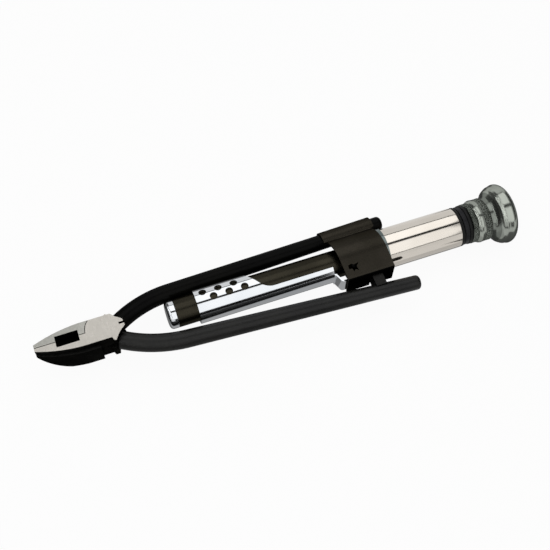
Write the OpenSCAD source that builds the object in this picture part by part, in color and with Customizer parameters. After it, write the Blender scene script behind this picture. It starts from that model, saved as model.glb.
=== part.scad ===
// Safety wire twisting pliers: lap-jointed jaws, dipped handles, a sliding
// handle lock and a pull knob whose spiral rod turns the tool as it is drawn out.
// The tool axis runs along +X from the jaws to the knob, the pivot is along Z.

/* [Head] */
// Length of the jaws from the pivot to the tip
jaw_l = 30; // [26:0.5:36]
// Width of the flat face across both jaws
head_w = 11.4; // [10:0.1:13]
// Thickness of the head
head_t = 15; // [13:0.5:18]
// Width of the nose at the tip
tip_w = 3.2; // [2:0.1:5]
// Length over which the nose narrows
nose_run = 20; // [17:0.5:24]
// Radius of the nose's sides
nose_r = 68; // [62:1:90]
// Length of the rounding under the nose
nose_lift_l = 13; // [12:0.5:15]
// Height of the rounding under the nose
nose_lift_h = 10.8; // [10:0.1:11.4]
// Radius of the rounding under the nose
nose_lift_r = 20; // [20:1:28]
// How far the black sides stand out beyond the ground face
belly = 1.6; // [0.8:0.1:2]
// Depth of the ground band at the edge of the face
face_band = 3.2; // [2:0.1:4]
// Length of the window between the jaws
window_l = 10.2; // [8:0.1:12]
// Width of the window between the jaws
window_w = 5.3; // [4.6:0.1:6]
// Distance from the pivot to the rear of the window
window_x = 10.4; // [9.5:0.1:11.5]
// Gap between the closed jaws
jaw_gap = 0.3; // [0.2:0.05:0.5]

/* [Joint] */
// Radius of the two lapped joint discs
joint_r = 7.4; // [7:0.1:7.8]
// Diameter of the pivot rivet
rivet_d = 5.6; // [4:0.1:7]
// Steel left over the rivet's blind end at the ground face
rivet_cover = 1.5; // [1:0.1:2.5]
// Radial clearance of the rivet in the moving half
rivet_fit = 0.05; // [0.02:0.01:0.1]
// Clearance between lapped and swinging faces
swing_gap = 0.3; // [0.2:0.05:0.5]
// Length of the fishtail behind the pivot
tail_l = 9.6; // [9:0.1:11]
// Width of the slit in the fishtail
tail_slit = 1; // [0.6:0.1:1.6]
// Distance from the pivot to the end of the slit
tail_slit_x = 6.6; // [6:0.1:8]
// Height of the stop lugs above the edge of the face
lug_h = 0.5; // [0.2:0.1:1]
// Drop of the fishtail's heel below the edge of the face
heel_h = 2; // [1:0.1:2.6]
// How far the ear of the lower half stands out beyond the edge of the face
ear_h = 1.4; // [0.8:0.1:2]

/* [Handles] */
// Diameter of the steel rod at the neck
rod_d = 6.2; // [5:0.1:7]
// Diameter of the steel rod at its end
rod_end_d = 4.8; // [4:0.1:5.2]
// Thickness of the dipped coating
grip_t = 1; // [0.6:0.1:1.3]
// Rounding at the end of a grip
grip_round = 1.8; // [1:0.1:2.4]
// Angle at which the necks leave the head
neck_a = 30; // [26:1:34]
// Distance from the pivot to the start of the bends
neck_x = 8.5; // [8:0.1:9.5]
// Height of the upper neck above the tool axis
upper_neck_y = 4.5; // [4.3:0.1:5]
// Radius of the upper bend
upper_bend_r = 50; // [46:1:56]
// Slope of the upper handle's straight run
upper_run_a = 1.6; // [1.5:0.1:2.2]
// Distance from the pivot to the end of the upper handle
upper_end_x = 138.6; // [137:0.1:142]
// Depth of the lower neck below the tool axis
lower_neck_y = 5.8; // [5:0.1:6.4]
// Radius of the lower bend
lower_bend_r = 60; // [54:1:66]
// Slope of the lower handle's straight run
lower_run_a = 4.1; // [3.6:0.1:5]
// Distance from the pivot to the end of the lower handle
lower_end_x = 143; // [138:1:152]

/* [Barrel and tube] */
// Outer diameter of the barrel
barrel_d = 13; // [12:0.1:13.6]
// Wall of the barrel
barrel_wall = 0.8; // [0.6:0.1:1]
// Distance from the pivot to the front of the barrel
barrel_x = 32.7; // [30:0.1:35]
// Length of the polished cap
cap_l = 4.2; // [3:0.1:6]
// Rounding of the cap's edge
cap_round = 2.6; // [1:0.1:2.9]
// Outer diameter of the housing tube
tube_d = 19.05; // [18.4:0.05:19.3]
// Wall of the housing tube
tube_wall = 1; // [0.8:0.1:1.4]
// Distance from the pivot to the front of the housing tube
tube_x = 114.4; // [113.6:0.1:116]
// Length of the housing tube
tube_l = 56; // [54:0.5:72]
// Clearance of pieces that are pushed together
seat_fit = 0.05; // [0.02:0.01:0.1]

/* [Bracket] */
// Distance from the pivot to the front of the bracket
bracket_x = 109.3; // [108.5:0.1:110]
// Length of the bracket along the tool
bracket_l = 22.7; // [22:0.1:26]
// How much farther back the wrap reaches than the saddle
wrap_more = 2.6; // [0:0.1:3.5]
// Thickness of the bracket's sheet
sheet_t = 0.8; // [0.6:0.1:1]
// Slant of the bracket's ends
bracket_skew = 6; // [0:0.5:8]
// Angle from the handle side at which the skirt leaves the saddle
skirt_a = 114; // [108:1:118]
// Distance of the flange's outer face from the tool axis
flange_y = 13; // [12.8:0.1:13.6]
// Depth of the flange below the tool axis
flange_d = 5; // [4:0.1:6]
// Thickness of the plated collar under the bracket
collar_t = 0.6; // [0.4:0.1:0.8]
// Half of the collar's opening beside the upper handle
collar_open_a = 34; // [28:1:44]
// How far the collar shows behind the bracket
collar_show = 1.7; // [1:0.1:3]

/* [Lock] */
// Distance from the pivot to the front of the lock slide
slide_x = 42.4; // [40:0.1:46]
// Length of the sleeve's full ring, to its slanted edge
sleeve_l = 28.3; // [26:0.1:32]
// Thickness of the slide's sheet
slide_t = 1.1; // [0.8:0.1:1.2]
// Clearance between the slide and the barrel
slide_fit = 0.3; // [0.2:0.05:0.4]
// Slant of the edge where the sleeve becomes an arm
slide_slant = 38; // [20:1:45]
// Distance from the end of the arm to the bracket
arm_gap = 2.9; // [2.3:0.1:5.3]
// Half of the opening along the sleeve, beside the upper handle
slide_slot_a = 36; // [32:1:44]
// Upper edge of the arm, as an angle above the lower handle's side
arm_top_a = 56; // [40:1:60]
// Lower edge of the arm, as an angle below the lower handle's side
arm_low_a = 60; // [40:1:70]
// Diameter of the thumb holes
hole_d = 3.5; // [2.5:0.1:4]
// Spacing of the thumb holes along the slide
hole_pitch = 7.3; // [6.5:0.1:8]
// Number of holes in each row
hole_n = 3; // [2:1:3]
// Angle of each row from the middle of the pad
hole_row_a = 12.8; // [11:0.1:16]
// Turn of the pad from the top of the tool
pad_turn = 4.7; // [0:0.1:8]
// Width of the tongue's jog
tongue_w = 10.4; // [8:0.1:10.8]
// Width of the tongue's tip
tongue_tip_w = 3.6; // [3:0.1:4]
// Thickness of the tongue
tongue_t = 0.7; // [0.5:0.05:0.8]
// Travel of the lock slide
lock_travel = 3.5; // [2:0.1:3.8]
// Length of the catch along the tool
catch_l = 5; // [4.5:0.1:5.6]
// Width of the catch
catch_w = 7.6; // [7:0.1:8]
// Diameter of the pins that hold the keeper to the catch
pin_d = 0.9; // [0.7:0.05:1]
// Depth of the pins in the catch
pin_in = 1.4; // [1:0.1:2]
// Distance from the pivot to the middle of the catch
catch_x = 124.9; // [124:0.1:127]

/* [Spiral drive] */
// Travel of the pull knob
stroke = 52; // [40:1:54]
// Length of rod for one turn
spiral_lead = 36; // [30:1:50]
// Size of the square spiral rod across its corners
spiral_d = 6; // [5:0.1:6.4]
// Clearance between the rod and the drive nut
spiral_fit = 0.3; // [0.25:0.05:0.4]
// Diameter of the rod's front journal
journal_d = 4; // [3:0.1:4.4]
// Diameter of the rod's shank in the knob
shank_d = 6.8; // [6.2:0.1:8]
// Distance from the pivot to the front of the spring cup
cup_x = 46; // [45:0.5:50]
// Radial clearance of the spring cup in the barrel
cup_fit = 0.08; // [0.04:0.01:0.1]
// Thickness of the spring cup
cup_l = 4; // [3:0.1:5]
// Wire of the return spring
wire_d = 0.9; // [0.7:0.1:1]
// Turns of the return spring
wire_turns = 10; // [8:1:12]
// Length of the drive nut
nut_l = 10; // [8:0.5:12]
// Outer diameter of the drive nut
nut_d = 11.2; // [10:0.1:11.6]
// Diameter of the clutch rollers
roller_d = 1.6; // [1.2:0.1:1.8]
// Number of clutch rollers
roller_n = 6; // [4:1:8]
// Thickness of a thrust washer
washer_t = 0.6; // [0.4:0.1:1]
// Length of the front bush
front_bush_l = 6; // [5:0.5:7]
// Length of the rear bush
rear_bush_l = 6.8; // [5:0.1:9]

/* [Knob] */
// Length of the knob behind its bumper
knob_l = 21.6; // [19:0.1:26]
// Diameter of the knob's rim
knob_d = 29; // [26:0.5:32]
// Diameter of the first knurled band
band_one_d = 19.2; // [18.6:0.1:19.6]
// Diameter of the second knurled band
band_two_d = 20.6; // [19.8:0.1:21.4]
// Diameter of the waist between the bands
waist_d = 18.5; // [17:0.1:18.6]
// Length of the first knurled band
band_one_l = 2.7; // [2:0.1:3.4]
// Length of the waist
waist_l = 2.3; // [1.6:0.1:3]
// Length of the second knurled band
band_two_l = 4.6; // [3.6:0.1:5.4]
// Radius of the bell's shoulder
bell_round = 8.2; // [6:0.1:9]
// Angle over which the bell's shoulder runs
bell_a = 34; // [28:1:38]
// Rounding of the rim
rim_round = 3.4; // [2.5:0.1:4]
// Diameter of the rubber bumpers
bumper_d = 18.9; // [18:0.1:19.2]
// Thickness of a rubber bumper
bumper_l = 1.6; // [1.2:0.1:2]
// Length of the dark band between the bumpers
band_l = 2.2; // [1.6:0.1:3]
// Gap between the housing and the knob's end of the bumpers
bumper_gap = 0.3; // [0.2:0.05:0.5]
// Diameter of the knob screw's head
screw_head_d = 8; // [7:0.1:9]
// Diameter of the knob screw
screw_d = 4; // [3:0.1:4.4]

/* [Hidden] */
$fn = 64;

// Far enough to cut past any face
past = 1;
// Wide enough to cut through the whole tool
wide = 2 * jaw_l;
// Half sizes of the head and the round pieces
half_t = head_t / 2;
half_w = head_w / 2;
barrel_r = barrel_d / 2;
barrel_bore_r = barrel_r - barrel_wall;
tube_r = tube_d / 2;
tube_bore_r = tube_r - tube_wall;
tube_end = tube_x + tube_l;
// Radii of the rod and its coating
neck_r = rod_d / 2 + grip_t;
rod_r = rod_d / 2;
rod_end_r = rod_end_d / 2;
// Level of the fishtail above the necks
tail_z = neck_r + swing_gap;
// Distance from the pivot at which the necks become round
neck_start = joint_r + 1.3 * swing_gap;
grip_start = neck_start + 1.3 * swing_gap;
// Radii of the collar and of the saddle that sits on it
collar_r = tube_r + seat_fit + collar_t;
saddle_r = collar_r + seat_fit;
bracket_mid = bracket_x + bracket_l / 2;
bracket_end = bracket_mid + bracket_l / 2;
// Radii of the lock slide
slide_in = barrel_r + slide_fit;
slide_out = slide_in + slide_t;
// Place of the arm's end before the bracket
arm_end = bracket_x - arm_gap;
// The tongue runs inside the flange, between the catch and its keeper
tongue_y = flange_y - sheet_t - swing_gap;
tongue_end = catch_x - catch_l / 2 - swing_gap;
lip_y = tube_r + swing_gap;
eye_out = tongue_y + swing_gap;
eye_in = tongue_y - tongue_t - swing_gap;
pin_z = (catch_w + tongue_tip_w) / 4 + swing_gap / 2;
// Places along the spiral drive
bush_x = tube_x + 0.2;
bush_end = bush_x + front_bush_l;
nut_x = bush_end + washer_t + 2 * seat_fit;
nut_end = nut_x + nut_l;
race_bore_r = nut_d / 2 + roller_d + 2 * seat_fit;
cup_end = cup_x + cup_l;
rear_bush_x = tube_end - rear_bush_l;
rear_bore_r = spiral_d / 2 + spiral_fit;
bumper_x = tube_end + seat_fit;
band_x = bumper_x + bumper_l + bumper_gap;
knob_bumper_x = band_x + band_l + seat_fit;
knob_x = knob_bumper_x + bumper_l + seat_fit;
knob_end = knob_x + knob_l;
shank_r = shank_d / 2;
shank_end = knob_end - 10;
screw_seat = knob_end - 3.6;
// Largest step along a twisted shape, and the divisions of a coil
spiral_step = 0.8;
coil_steps = 16;
coil_sides = 6;
// How far and how proud a straight length laps the bend it joins
lap_l = 0.05;
lap_r = 0.02;

// Unit vector at an angle
function unit(a) = [cos(a), sin(a)];
// Points on an arc about a centre
function arc(c, r, a0, a1, n = 12) = [for (i = [0:n]) c + r * unit(a0 + (a1 - a0) * i / n)];
// Start of a bend, on the side away from the tool axis
function bend_start(neck_y) = [neck_x, neck_y];
// Centre of a bend
function bend_centre(neck_y, bend_r) = bend_start(neck_y) + bend_r * [sin(neck_a), -cos(neck_a)];
// End of a bend, where the straight run starts
function bend_end(neck_y, bend_r, run_a) = bend_centre(neck_y, bend_r) + bend_r * [-sin(run_a), cos(run_a)];
// How far a neck's round part reaches back from the bend to a distance from the pivot
function neck_back(neck_y, from) = bend_start(neck_y) * unit(neck_a) - from;
// Centre of an arc from p to q, on the left of the way from p to q
function arc_centre(p, q, r) = (p + q) / 2
    + sqrt(r * r - (q - p) * (q - p) / 4) / norm(q - p) * [p[1] - q[1], q[0] - p[0]];

// Raises the tool so that the underside of the head lies at Z = 0
module tool() {
    translate([0, 0, half_t])
        children();
}

// Turns a shape that stands on Z so that it lies along X
module along(x) {
    translate([x, 0, 0])
        rotate([0, 90, 0])
            children();
}

// Plain ring on the tool axis
module ring(x, l, r_in, r_out) {
    along(x)
        difference() {
            cylinder(h = l, r = r_out);
            translate([0, 0, -past])
                cylinder(h = l + 2 * past, r = r_in);
        }
}

// Wedge of a circle's plane, under half a turn
module wedge(a0, a1, r) {
    polygon([[0, 0], r * unit(a0), r * unit((a0 + a1) / 2), r * unit(a1)]);
}

// One level of a jaw, below the tool axis, with its side curved in to the nose
module jaw_level(w, tip, z0, z1) {
    c = arc_centre([-jaw_l, -tip / 2], [-jaw_l + nose_run, -w / 2], nose_r);
    h = z1 - z0;
    difference() {
        translate([-jaw_l, -w / 2, z0])
            cube([jaw_l - 0.35 * joint_r, w / 2 - jaw_gap / 2, h]);
        difference() {
            translate([-jaw_l - past, -w, z0 - past])
                cube([c[0] + jaw_l + past, w, h + 2 * past]);
            translate([c[0], c[1], z0 - 2 * past])
                cylinder(h = h + 4 * past, r = nose_r, $fn = 256);
        }
    }
}

// Lower jaw: ground face on top, fuller black sides, rounded up under the nose
module jaw() {
    c = arc_centre([-jaw_l, nose_lift_h - half_t], [-jaw_l + nose_lift_l, -half_t], nose_lift_r);
    difference() {
        union() {
            jaw_level(head_w, tip_w, half_t - 2 * face_band, half_t);
            jaw_level(head_w + 2 * belly, tip_w + belly, -half_t, half_t - face_band);
        }
        difference() {
            translate([-jaw_l - past, -wide / 2, -half_t - past])
                cube([c[0] + jaw_l + past, wide, c[1] + half_t + past]);
            translate([c[0], 0, c[1]])
                rotate([90, 0, 0])
                    cylinder(h = 2 * wide, r = nose_lift_r, center = true, $fn = 128);
        }
    }
}

// Window between the jaws
module window() {
    translate([-window_x - window_l, -window_w / 2, -half_t - past])
        cube([window_l, window_w, head_t + 2 * past]);
}

// Joint disc with flats in line with the face, in the upper level
module disc() {
    intersection() {
        translate([0, 0, swing_gap / 2])
            cylinder(h = half_t - swing_gap / 2, r = joint_r);
        translate([-wide / 2, -half_w, 0])
            cube([wide, head_w, half_t]);
    }
}

// Outline of the fishtail plate, with a stop lug above and a heel below
module tail_outline() {
    polygon([
        [0, half_w], [1.7, half_w - 0.6], [2.5, half_w + lug_h], [4.9, half_w - 0.8],
        [5.6, half_w - 1.3], [tail_l - 0.6, 1.4 + tail_slit / 2], [tail_l, 0.4 + tail_slit / 2],
        [tail_l - 0.3, tail_slit / 2 - 0.1], [tail_slit_x, tail_slit / 2 - 0.1], [tail_slit_x, -tail_slit / 2 - 0.1],
        [tail_l + 0.1, -tail_slit / 2 - 0.1], [tail_l + 0.1, -1.3 - tail_slit / 2],
        [tail_l - 1.9, -2.9 - tail_slit / 2], [tail_l - 3.4, -4.5 - tail_slit / 2],
        [4.4, -half_w - heel_h], [3.5, -half_w - heel_h + 0.5], [3, -half_w], [0, -half_w]
    ]);
}

// Upright ear beside the joint, over the whole level
module ear() {
    translate([0, 0, swing_gap / 2])
        linear_extrude(half_t - swing_gap / 2)
            polygon([[1.4, half_w - 1], [2.6, half_w + ear_h], [4.6, half_w + ear_h], [5.2, half_w - 1]]);
}

// Round bar of a handle: neck, bend, tapering run and rounded end
module bar(neck_y, bend_r, run_a, end_x, start, r0, r1, end_round) {
    back = neck_back(neck_y, start);
    run_start = bend_end(neck_y, bend_r, run_a);
    run_l = (end_x - run_start[0]) / cos(run_a);
    translate(bend_start(neck_y) - back * unit(neck_a))
        rotate([0, 0, neck_a])
            along(0)
                cylinder(h = back + lap_l, r = r0);
    translate(bend_centre(neck_y, bend_r))
        rotate([0, 0, 90 + run_a])
            rotate_extrude(angle = neck_a - run_a, $fn = 256)
                translate([bend_r, 0])
                    circle(r = r0 - lap_r);
    translate(run_start)
        rotate([0, 0, run_a])
            along(-lap_l)
                rotate_extrude()
                    polygon(concat([[0, 0], [r0, 0]],
                        arc([r1 - end_round, run_l - end_round], end_round, 0, 90, 6), [[0, run_l]]));
}

// Everything of a half that follows its handle: disc, fishtail, neck and rod
module handle_half(neck_y, bend_r, run_a, end_x) {
    root_l = neck_start - 0.4 * joint_r;
    disc();
    translate([0, 0, tail_z])
        linear_extrude(half_t - tail_z)
            tail_outline();
    translate(bend_start(neck_y) - neck_back(neck_y, neck_start) * unit(neck_a))
        rotate([0, 0, neck_a]) {
            intersection() {
                along(-root_l)
                    cylinder(h = root_l + lap_l, r = neck_r);
                translate([-wide / 2, -wide / 2, swing_gap / 2])
                    cube([wide, wide, half_t]);
            }
            along(0)
                cylinder(h = grip_start - neck_start - seat_fit, r = neck_r - 0.2 * grip_t);
        }
    bar(neck_y, bend_r, run_a, end_x - 1.5 * grip_t, neck_start + lap_l, rod_r, rod_end_r, grip_t);
}

// Dipped coating over a rod
module grip(neck_y, bend_r, run_a, end_x) {
    difference() {
        bar(neck_y, bend_r, run_a, end_x, grip_start, neck_r, rod_end_r + grip_t, grip_round);
        bar(neck_y, bend_r, run_a, end_x - 1.5 * grip_t + seat_fit, grip_start - past,
            rod_r + seat_fit, rod_end_r + seat_fit, grip_t);
    }
}

// Front half: lower jaw, upper joint disc and upper handle
module front_half() {
    color("dimgray")
        tool()
            difference() {
                union() {
                    difference() {
                        jaw();
                        translate([0, 0, -half_t - past])
                            cylinder(h = half_t + past + swing_gap / 2, r = joint_r + swing_gap);
                    }
                    handle_half(upper_neck_y, upper_bend_r, upper_run_a, upper_end_x);
                }
                window();
                translate([0, 0, -half_t - past])
                    cylinder(h = head_t - rivet_cover + past + seat_fit, r = rivet_d / 2 + seat_fit);
            }
}

// Rear half: upper jaw, lower joint disc and lower handle
module rear_half() {
    color("dimgray")
        tool()
            difference() {
                union() {
                    difference() {
                        mirror([0, 1, 0])
                            jaw();
                        translate([0, 0, -swing_gap / 2])
                            cylinder(h = half_t + past, r = joint_r + swing_gap);
                    }
                    rotate([180, 0, 0]) {
                        handle_half(lower_neck_y, lower_bend_r, lower_run_a, lower_end_x);
                        ear();
                    }
                }
                window();
                cylinder(h = head_t + 2 * past, r = rivet_d / 2 + rivet_fit, center = true);
            }
}

// Pivot rivet, flush under the head and blind at the ground face
module pivot_rivet() {
    color("silver")
        cylinder(h = head_t - rivet_cover, r = rivet_d / 2);
}

module upper_grip() {
    color("black")
        tool()
            grip(upper_neck_y, upper_bend_r, upper_run_a, upper_end_x);
}

module lower_grip() {
    color("black")
        tool()
            rotate([180, 0, 0])
                grip(lower_neck_y, lower_bend_r, lower_run_a, lower_end_x);
}

// Section of the saddle, skirt and flange, seen along the tool
module bracket_section(valley_a) {
    r_out = saddle_r + sheet_t;
    inner_y = flange_y - sheet_t;
    fold_out = (r_out + flange_y * unit(skirt_a)[0]) / unit(skirt_a)[1];
    fold_in = (saddle_r + inner_y * unit(skirt_a)[0]) / unit(skirt_a)[1];
    intersection() {
        difference() {
            circle(r = r_out, $fn = 128);
            circle(r = saddle_r, $fn = 128);
        }
        wedge(valley_a, skirt_a, wide);
    }
    polygon([r_out * unit(skirt_a), [-flange_y, fold_out], [-flange_y, -flange_d], [-inner_y, -flange_d],
        [-inner_y, fold_in], saddle_r * unit(skirt_a)]);
}

// Space between the bracket's slanted ends, with more behind it
module skewed_box(more) {
    translate([bracket_mid, 0, 0])
        rotate([0, 0, bracket_skew])
            translate([more / 2, 0, 0])
                cube([bracket_l + more, wide, wide], center = true);
}

// Stamped bracket: wraps the upper handle, saddles the tube and drops a flange
module bracket() {
    run_start = bend_end(upper_neck_y, upper_bend_r, upper_run_a);
    handle_y = run_start[1] + (bracket_mid - run_start[0]) * tan(upper_run_a);
    wrap_r = rod_end_r + grip_t + 0.3;
    r_out = saddle_r + sheet_t;
    valley_y = (handle_y * handle_y + r_out * r_out - pow(wrap_r + sheet_t, 2)) / (2 * handle_y);
    valley_a = acos(valley_y / r_out);
    wrap_a = 180 - asin(r_out * sin(valley_a) / (wrap_r + sheet_t));
    color("black")
        tool()
            difference() {
                union() {
                    intersection() {
                        translate([bracket_mid - bracket_l, 0, 0])
                            rotate([90, 0, 90])
                                linear_extrude(2 * bracket_l)
                                    bracket_section(valley_a);
                        skewed_box(0);
                    }
                    intersection() {
                        translate([bracket_mid, handle_y, 0])
                            rotate([0, 0, upper_run_a])
                                rotate([90, 0, 90])
                                    linear_extrude(2 * bracket_l, center = true)
                                        difference() {
                                            circle(r = wrap_r + sheet_t);
                                            circle(r = wrap_r);
                                            wedge(wrap_a, 285, wide);
                                        }
                        skewed_box(wrap_more);
                    }
                }
                translate([catch_x - catch_l / 2 - 1.5 * swing_gap, -flange_y - past, -flange_d - past])
                    cube([catch_l + 2.5 * swing_gap, sheet_t + 2 * past, flange_d + past + catch_w / 2 + swing_gap]);
                translate([bracket_mid - 0.36 * bracket_l, -0.66 * flange_y, 0])
                    cube([4.8, 2.8, wide]);
                translate([bracket_mid - 0.36 * bracket_l + 1.6, -0.66 * flange_y - 1.2, 0])
                    cube([1.8, 1.6, wide]);
            }
}

// Plated collar round the tube under the bracket, open beside the upper handle
module tube_collar() {
    collar_x = tube_x + swing_gap;
    color("lightsteelblue")
        tool()
            difference() {
                ring(collar_x, bracket_end + collar_show - collar_x, tube_r + seat_fit, collar_r);
                handle_side(collar_open_a);
                translate([catch_x - catch_l / 2 - 2 * swing_gap, -wide, -catch_w / 2 - swing_gap])
                    cube([catch_l + 4 * swing_gap, wide, catch_w + 2 * swing_gap]);
            }
}

// Sector on the upper handle's side, along the whole tool
module handle_side(a) {
    rotate([90, 0, 90])
        linear_extrude(4 * wide)
            wedge(-a, a, wide);
}

module barrel() {
    color("darkslategray")
        tool()
            ring(barrel_x, bush_end - barrel_x, barrel_bore_r, barrel_r);
}

// Polished cap with a spigot in the barrel
module barrel_cap() {
    color("gainsboro")
        tool()
            along(barrel_x - cap_l)
                rotate_extrude()
                    polygon(concat([[0, 0]], arc([barrel_r - cap_round, cap_round], cap_round, -90, 0),
                        [[barrel_r, cap_l - seat_fit], [barrel_bore_r - seat_fit, cap_l - seat_fit],
                        [barrel_bore_r - seat_fit, cap_l + 3], [0, cap_l + 3]]));
}

module housing_tube() {
    color("wheat")
        tool()
            ring(tube_x, tube_l, tube_bore_r, tube_r);
}

// Bush that holds the barrel's end in the tube
module front_bush() {
    color("goldenrod")
        tool()
            ring(bush_x, front_bush_l, barrel_r + seat_fit, tube_bore_r - seat_fit);
}

module clutch_race() {
    color("gray")
        tool()
            ring(nut_x, nut_l, race_bore_r, tube_bore_r - seat_fit);
}

// One-way rollers between the nut and the race
module clutch_rollers() {
    color("silver")
        tool()
            for (i = [0:roller_n - 1])
                rotate([i * 360 / roller_n, 0, 0])
                    translate([0, nut_d / 2 + seat_fit + roller_d / 2, 0])
                        along(nut_x + 1)
                            cylinder(h = nut_l - 2, r = roller_d / 2);
}

// Square bar twisted about the tool axis, in step with its place along the tool
module spiral(x0, x1, d) {
    along(x0)
        rotate([0, 0, 360 * x0 / spiral_lead])
            linear_extrude(x1 - x0, twist = -360 * (x1 - x0) / spiral_lead,
                slices = ceil((x1 - x0) / spiral_step), $fn = 4)
                square(d / sqrt(2), center = true);
}

// Nut whose broached bore follows the rod
module drive_nut() {
    color("goldenrod")
        tool()
            difference() {
                along(nut_x)
                    cylinder(h = nut_l, r = nut_d / 2);
                spiral(nut_x - past, nut_end + past, spiral_d + 2 * spiral_fit);
            }
}

// Washers in front of and behind the nut
module thrust_washers() {
    color("silver")
        tool()
            for (x = [bush_end + seat_fit, nut_end + seat_fit])
                ring(x, washer_t, spiral_d / 2 + spiral_fit, tube_bore_r - seat_fit);
}

module rear_bush() {
    color("goldenrod")
        tool()
            ring(rear_bush_x, rear_bush_l, rear_bore_r, tube_bore_r - seat_fit);
}

// Rubber ring on the end of the tube
module tube_bumper() {
    color("black")
        tool()
            ring(bumper_x, bumper_l, rear_bore_r, bumper_d / 2);
}

// Upper edge of the slide's arm and the slanted end of its sleeve
module slide_cut() {
    intersection() {
        translate([slide_x + sleeve_l, 0, 0])
            rotate([0, 0, slide_slant])
                translate([0, -4 * wide, -wide])
                    cube([8 * wide, 8 * wide, 2 * wide]);
        rotate([-arm_top_a, 0, 0])
            translate([slide_x, -wide, 0])
                cube([4 * wide, 2 * wide, wide]);
    }
    rotate([arm_low_a, 0, 0])
        translate([slide_x + sleeve_l, -wide, -wide])
            cube([4 * wide, 2 * wide, wide]);
}

// Lock slide: perforated thumb sleeve, arm and jogged tongue
module lock_slide() {
    step_x = arm_end + 0.4 + 0.35 * (tongue_y - slide_out + tongue_t);
    color("silver")
        tool() {
            difference() {
                ring(slide_x, arm_end - slide_x, slide_in, slide_out);
                slide_cut();
                handle_side(slide_slot_a);
                for (row = [0, 1])
                    for (i = [0:hole_n - 1])
                        rotate([(row == 0 ? -1 : 1) * hole_row_a - pad_turn, 0, 0])
                            translate([slide_x + 3.9 + (i + 0.58 * row) * hole_pitch, 0, 0])
                                cylinder(h = wide, r = hole_d / 2);
            }
            translate([0, 0, -tongue_w / 2])
                linear_extrude(tongue_w)
                    polygon([[arm_end - 3, -slide_in - 0.2], [arm_end - 3, -slide_in - 0.2 - tongue_t],
                        [arm_end + 0.4, -slide_in - 0.2 - tongue_t], [step_x, -tongue_y], [step_x + 5, -tongue_y],
                        [step_x + 5, -tongue_y + tongue_t], [step_x + 0.55, -tongue_y + tongue_t],
                        [arm_end + 0.95, -slide_in - 0.2]]);
            translate([step_x + 3, -tongue_y, -tongue_tip_w / 2])
                cube([tongue_end - step_x - 3, tongue_t, tongue_tip_w]);
        }
}

// Catch on the lower handle, outside the tongue's way
module lock_catch() {
    run_start = bend_end(lower_neck_y, lower_bend_r, lower_run_a);
    handle_y = run_start[1] + (catch_x - run_start[0]) * tan(lower_run_a);
    run_l = (lower_end_x - run_start[0]) / cos(lower_run_a);
    along_run = (catch_x - run_start[0]) / run_l;
    grip_r = neck_r + (rod_end_r + grip_t - neck_r) * along_run;
    color("black")
        tool()
            difference() {
                translate([catch_x - catch_l / 2, -handle_y, -catch_w / 2])
                    cube([catch_l, handle_y - eye_out, catch_w]);
                catch_pins(seat_fit);
                rotate([180, 0, 0])
                    bar(lower_neck_y, lower_bend_r, lower_run_a, lower_end_x, grip_start,
                        neck_r + seat_fit, rod_end_r + grip_t + seat_fit, grip_round);
                translate([0, -handle_y - wide, -wide / 2])
                    cube([2 * lower_end_x, wide + 0.4 * grip_r, wide]);
            }
}

// Keeper plate inside the tongue's way
module catch_keeper() {
    color("black")
        tool()
            difference() {
                translate([catch_x - catch_l / 2, -eye_in, -catch_w / 2])
                    cube([catch_l, eye_in - lip_y, catch_w]);
                catch_pins(seat_fit);
            }
}

// Two pins that hold the keeper to the catch, above and below the tongue's way
module catch_rivets() {
    color("silver")
        tool()
            catch_pins(0);
}

// Pins with a fit round them, or the holes for them
module catch_pins(fit) {
    more = fit > 0 ? past : 0;
    for (side = [-1, 1])
        translate([catch_x, -lip_y + more, side * pin_z])
            rotate([90, 0, 0])
                cylinder(h = eye_out + pin_in - lip_y + more + fit, r = pin_d / 2 + fit, $fn = 32);
}

// Sliding cup that takes the spring's push and lets the rod turn
module spring_cup() {
    color("silver")
        tool()
            ring(cup_x, cup_l, journal_d / 2 + seat_fit, barrel_bore_r - cup_fit);
}

// Coil between the cup and the front thrust washer
module return_spring() {
    coil_r = barrel_bore_r - 0.5 - wire_d / 2;
    x0 = cup_end + wire_d / 2 + seat_fit;
    x1 = bush_end - wire_d / 2;
    rings = wire_turns * coil_steps;
    points = [for (i = [0:rings]) for (k = [0:coil_sides - 1])
        let (a = 360 * i / coil_steps, b = 360 * k / coil_sides, r = coil_r + wire_d / 2 * cos(b))
            [x0 + (x1 - x0) * i / rings + wire_d / 2 * sin(b), r * cos(a), r * sin(a)]];
    sides = [for (i = [0:rings - 1]) for (k = [0:coil_sides - 1])
        let (n = (k + 1) % coil_sides, p = i * coil_sides, q = p + coil_sides)
            [p + k, p + n, q + n, q + k]];
    caps = [[for (k = [coil_sides - 1:-1:0]) k], [for (k = [0:coil_sides - 1]) rings * coil_sides + k]];
    color("silver")
        tool()
            polyhedron(points, concat(sides, caps));
}

// Spiral rod: front journal, twisted square length and shank in the knob
module spiral_rod() {
    color("silver")
        tool()
            difference() {
                union() {
                    along(cup_x - 3.2)
                        cylinder(h = cup_l + 3.2 + 2 * seat_fit, r = journal_d / 2);
                    spiral(cup_end + seat_fit, band_x + 0.5, spiral_d);
                    along(band_x)
                        cylinder(h = shank_end - band_x, r = shank_r);
                }
                along(shank_end - 6)
                    cylinder(h = 6 + past, r = screw_d / 2 + seat_fit);
            }
}

// Collar that keeps the cup on the rod's journal
module rod_collar() {
    color("silver")
        tool()
            ring(cup_x - 3.2, 3, journal_d / 2 + seat_fit, barrel_bore_r - 1);
}

module knob_band() {
    color("dimgray")
        tool()
            ring(band_x, band_l, shank_r + seat_fit, bumper_d / 2 - 0.3);
}

module knob_bumper() {
    color("black")
        tool()
            ring(knob_bumper_x, bumper_l, shank_r + seat_fit, bumper_d / 2);
}

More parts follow.
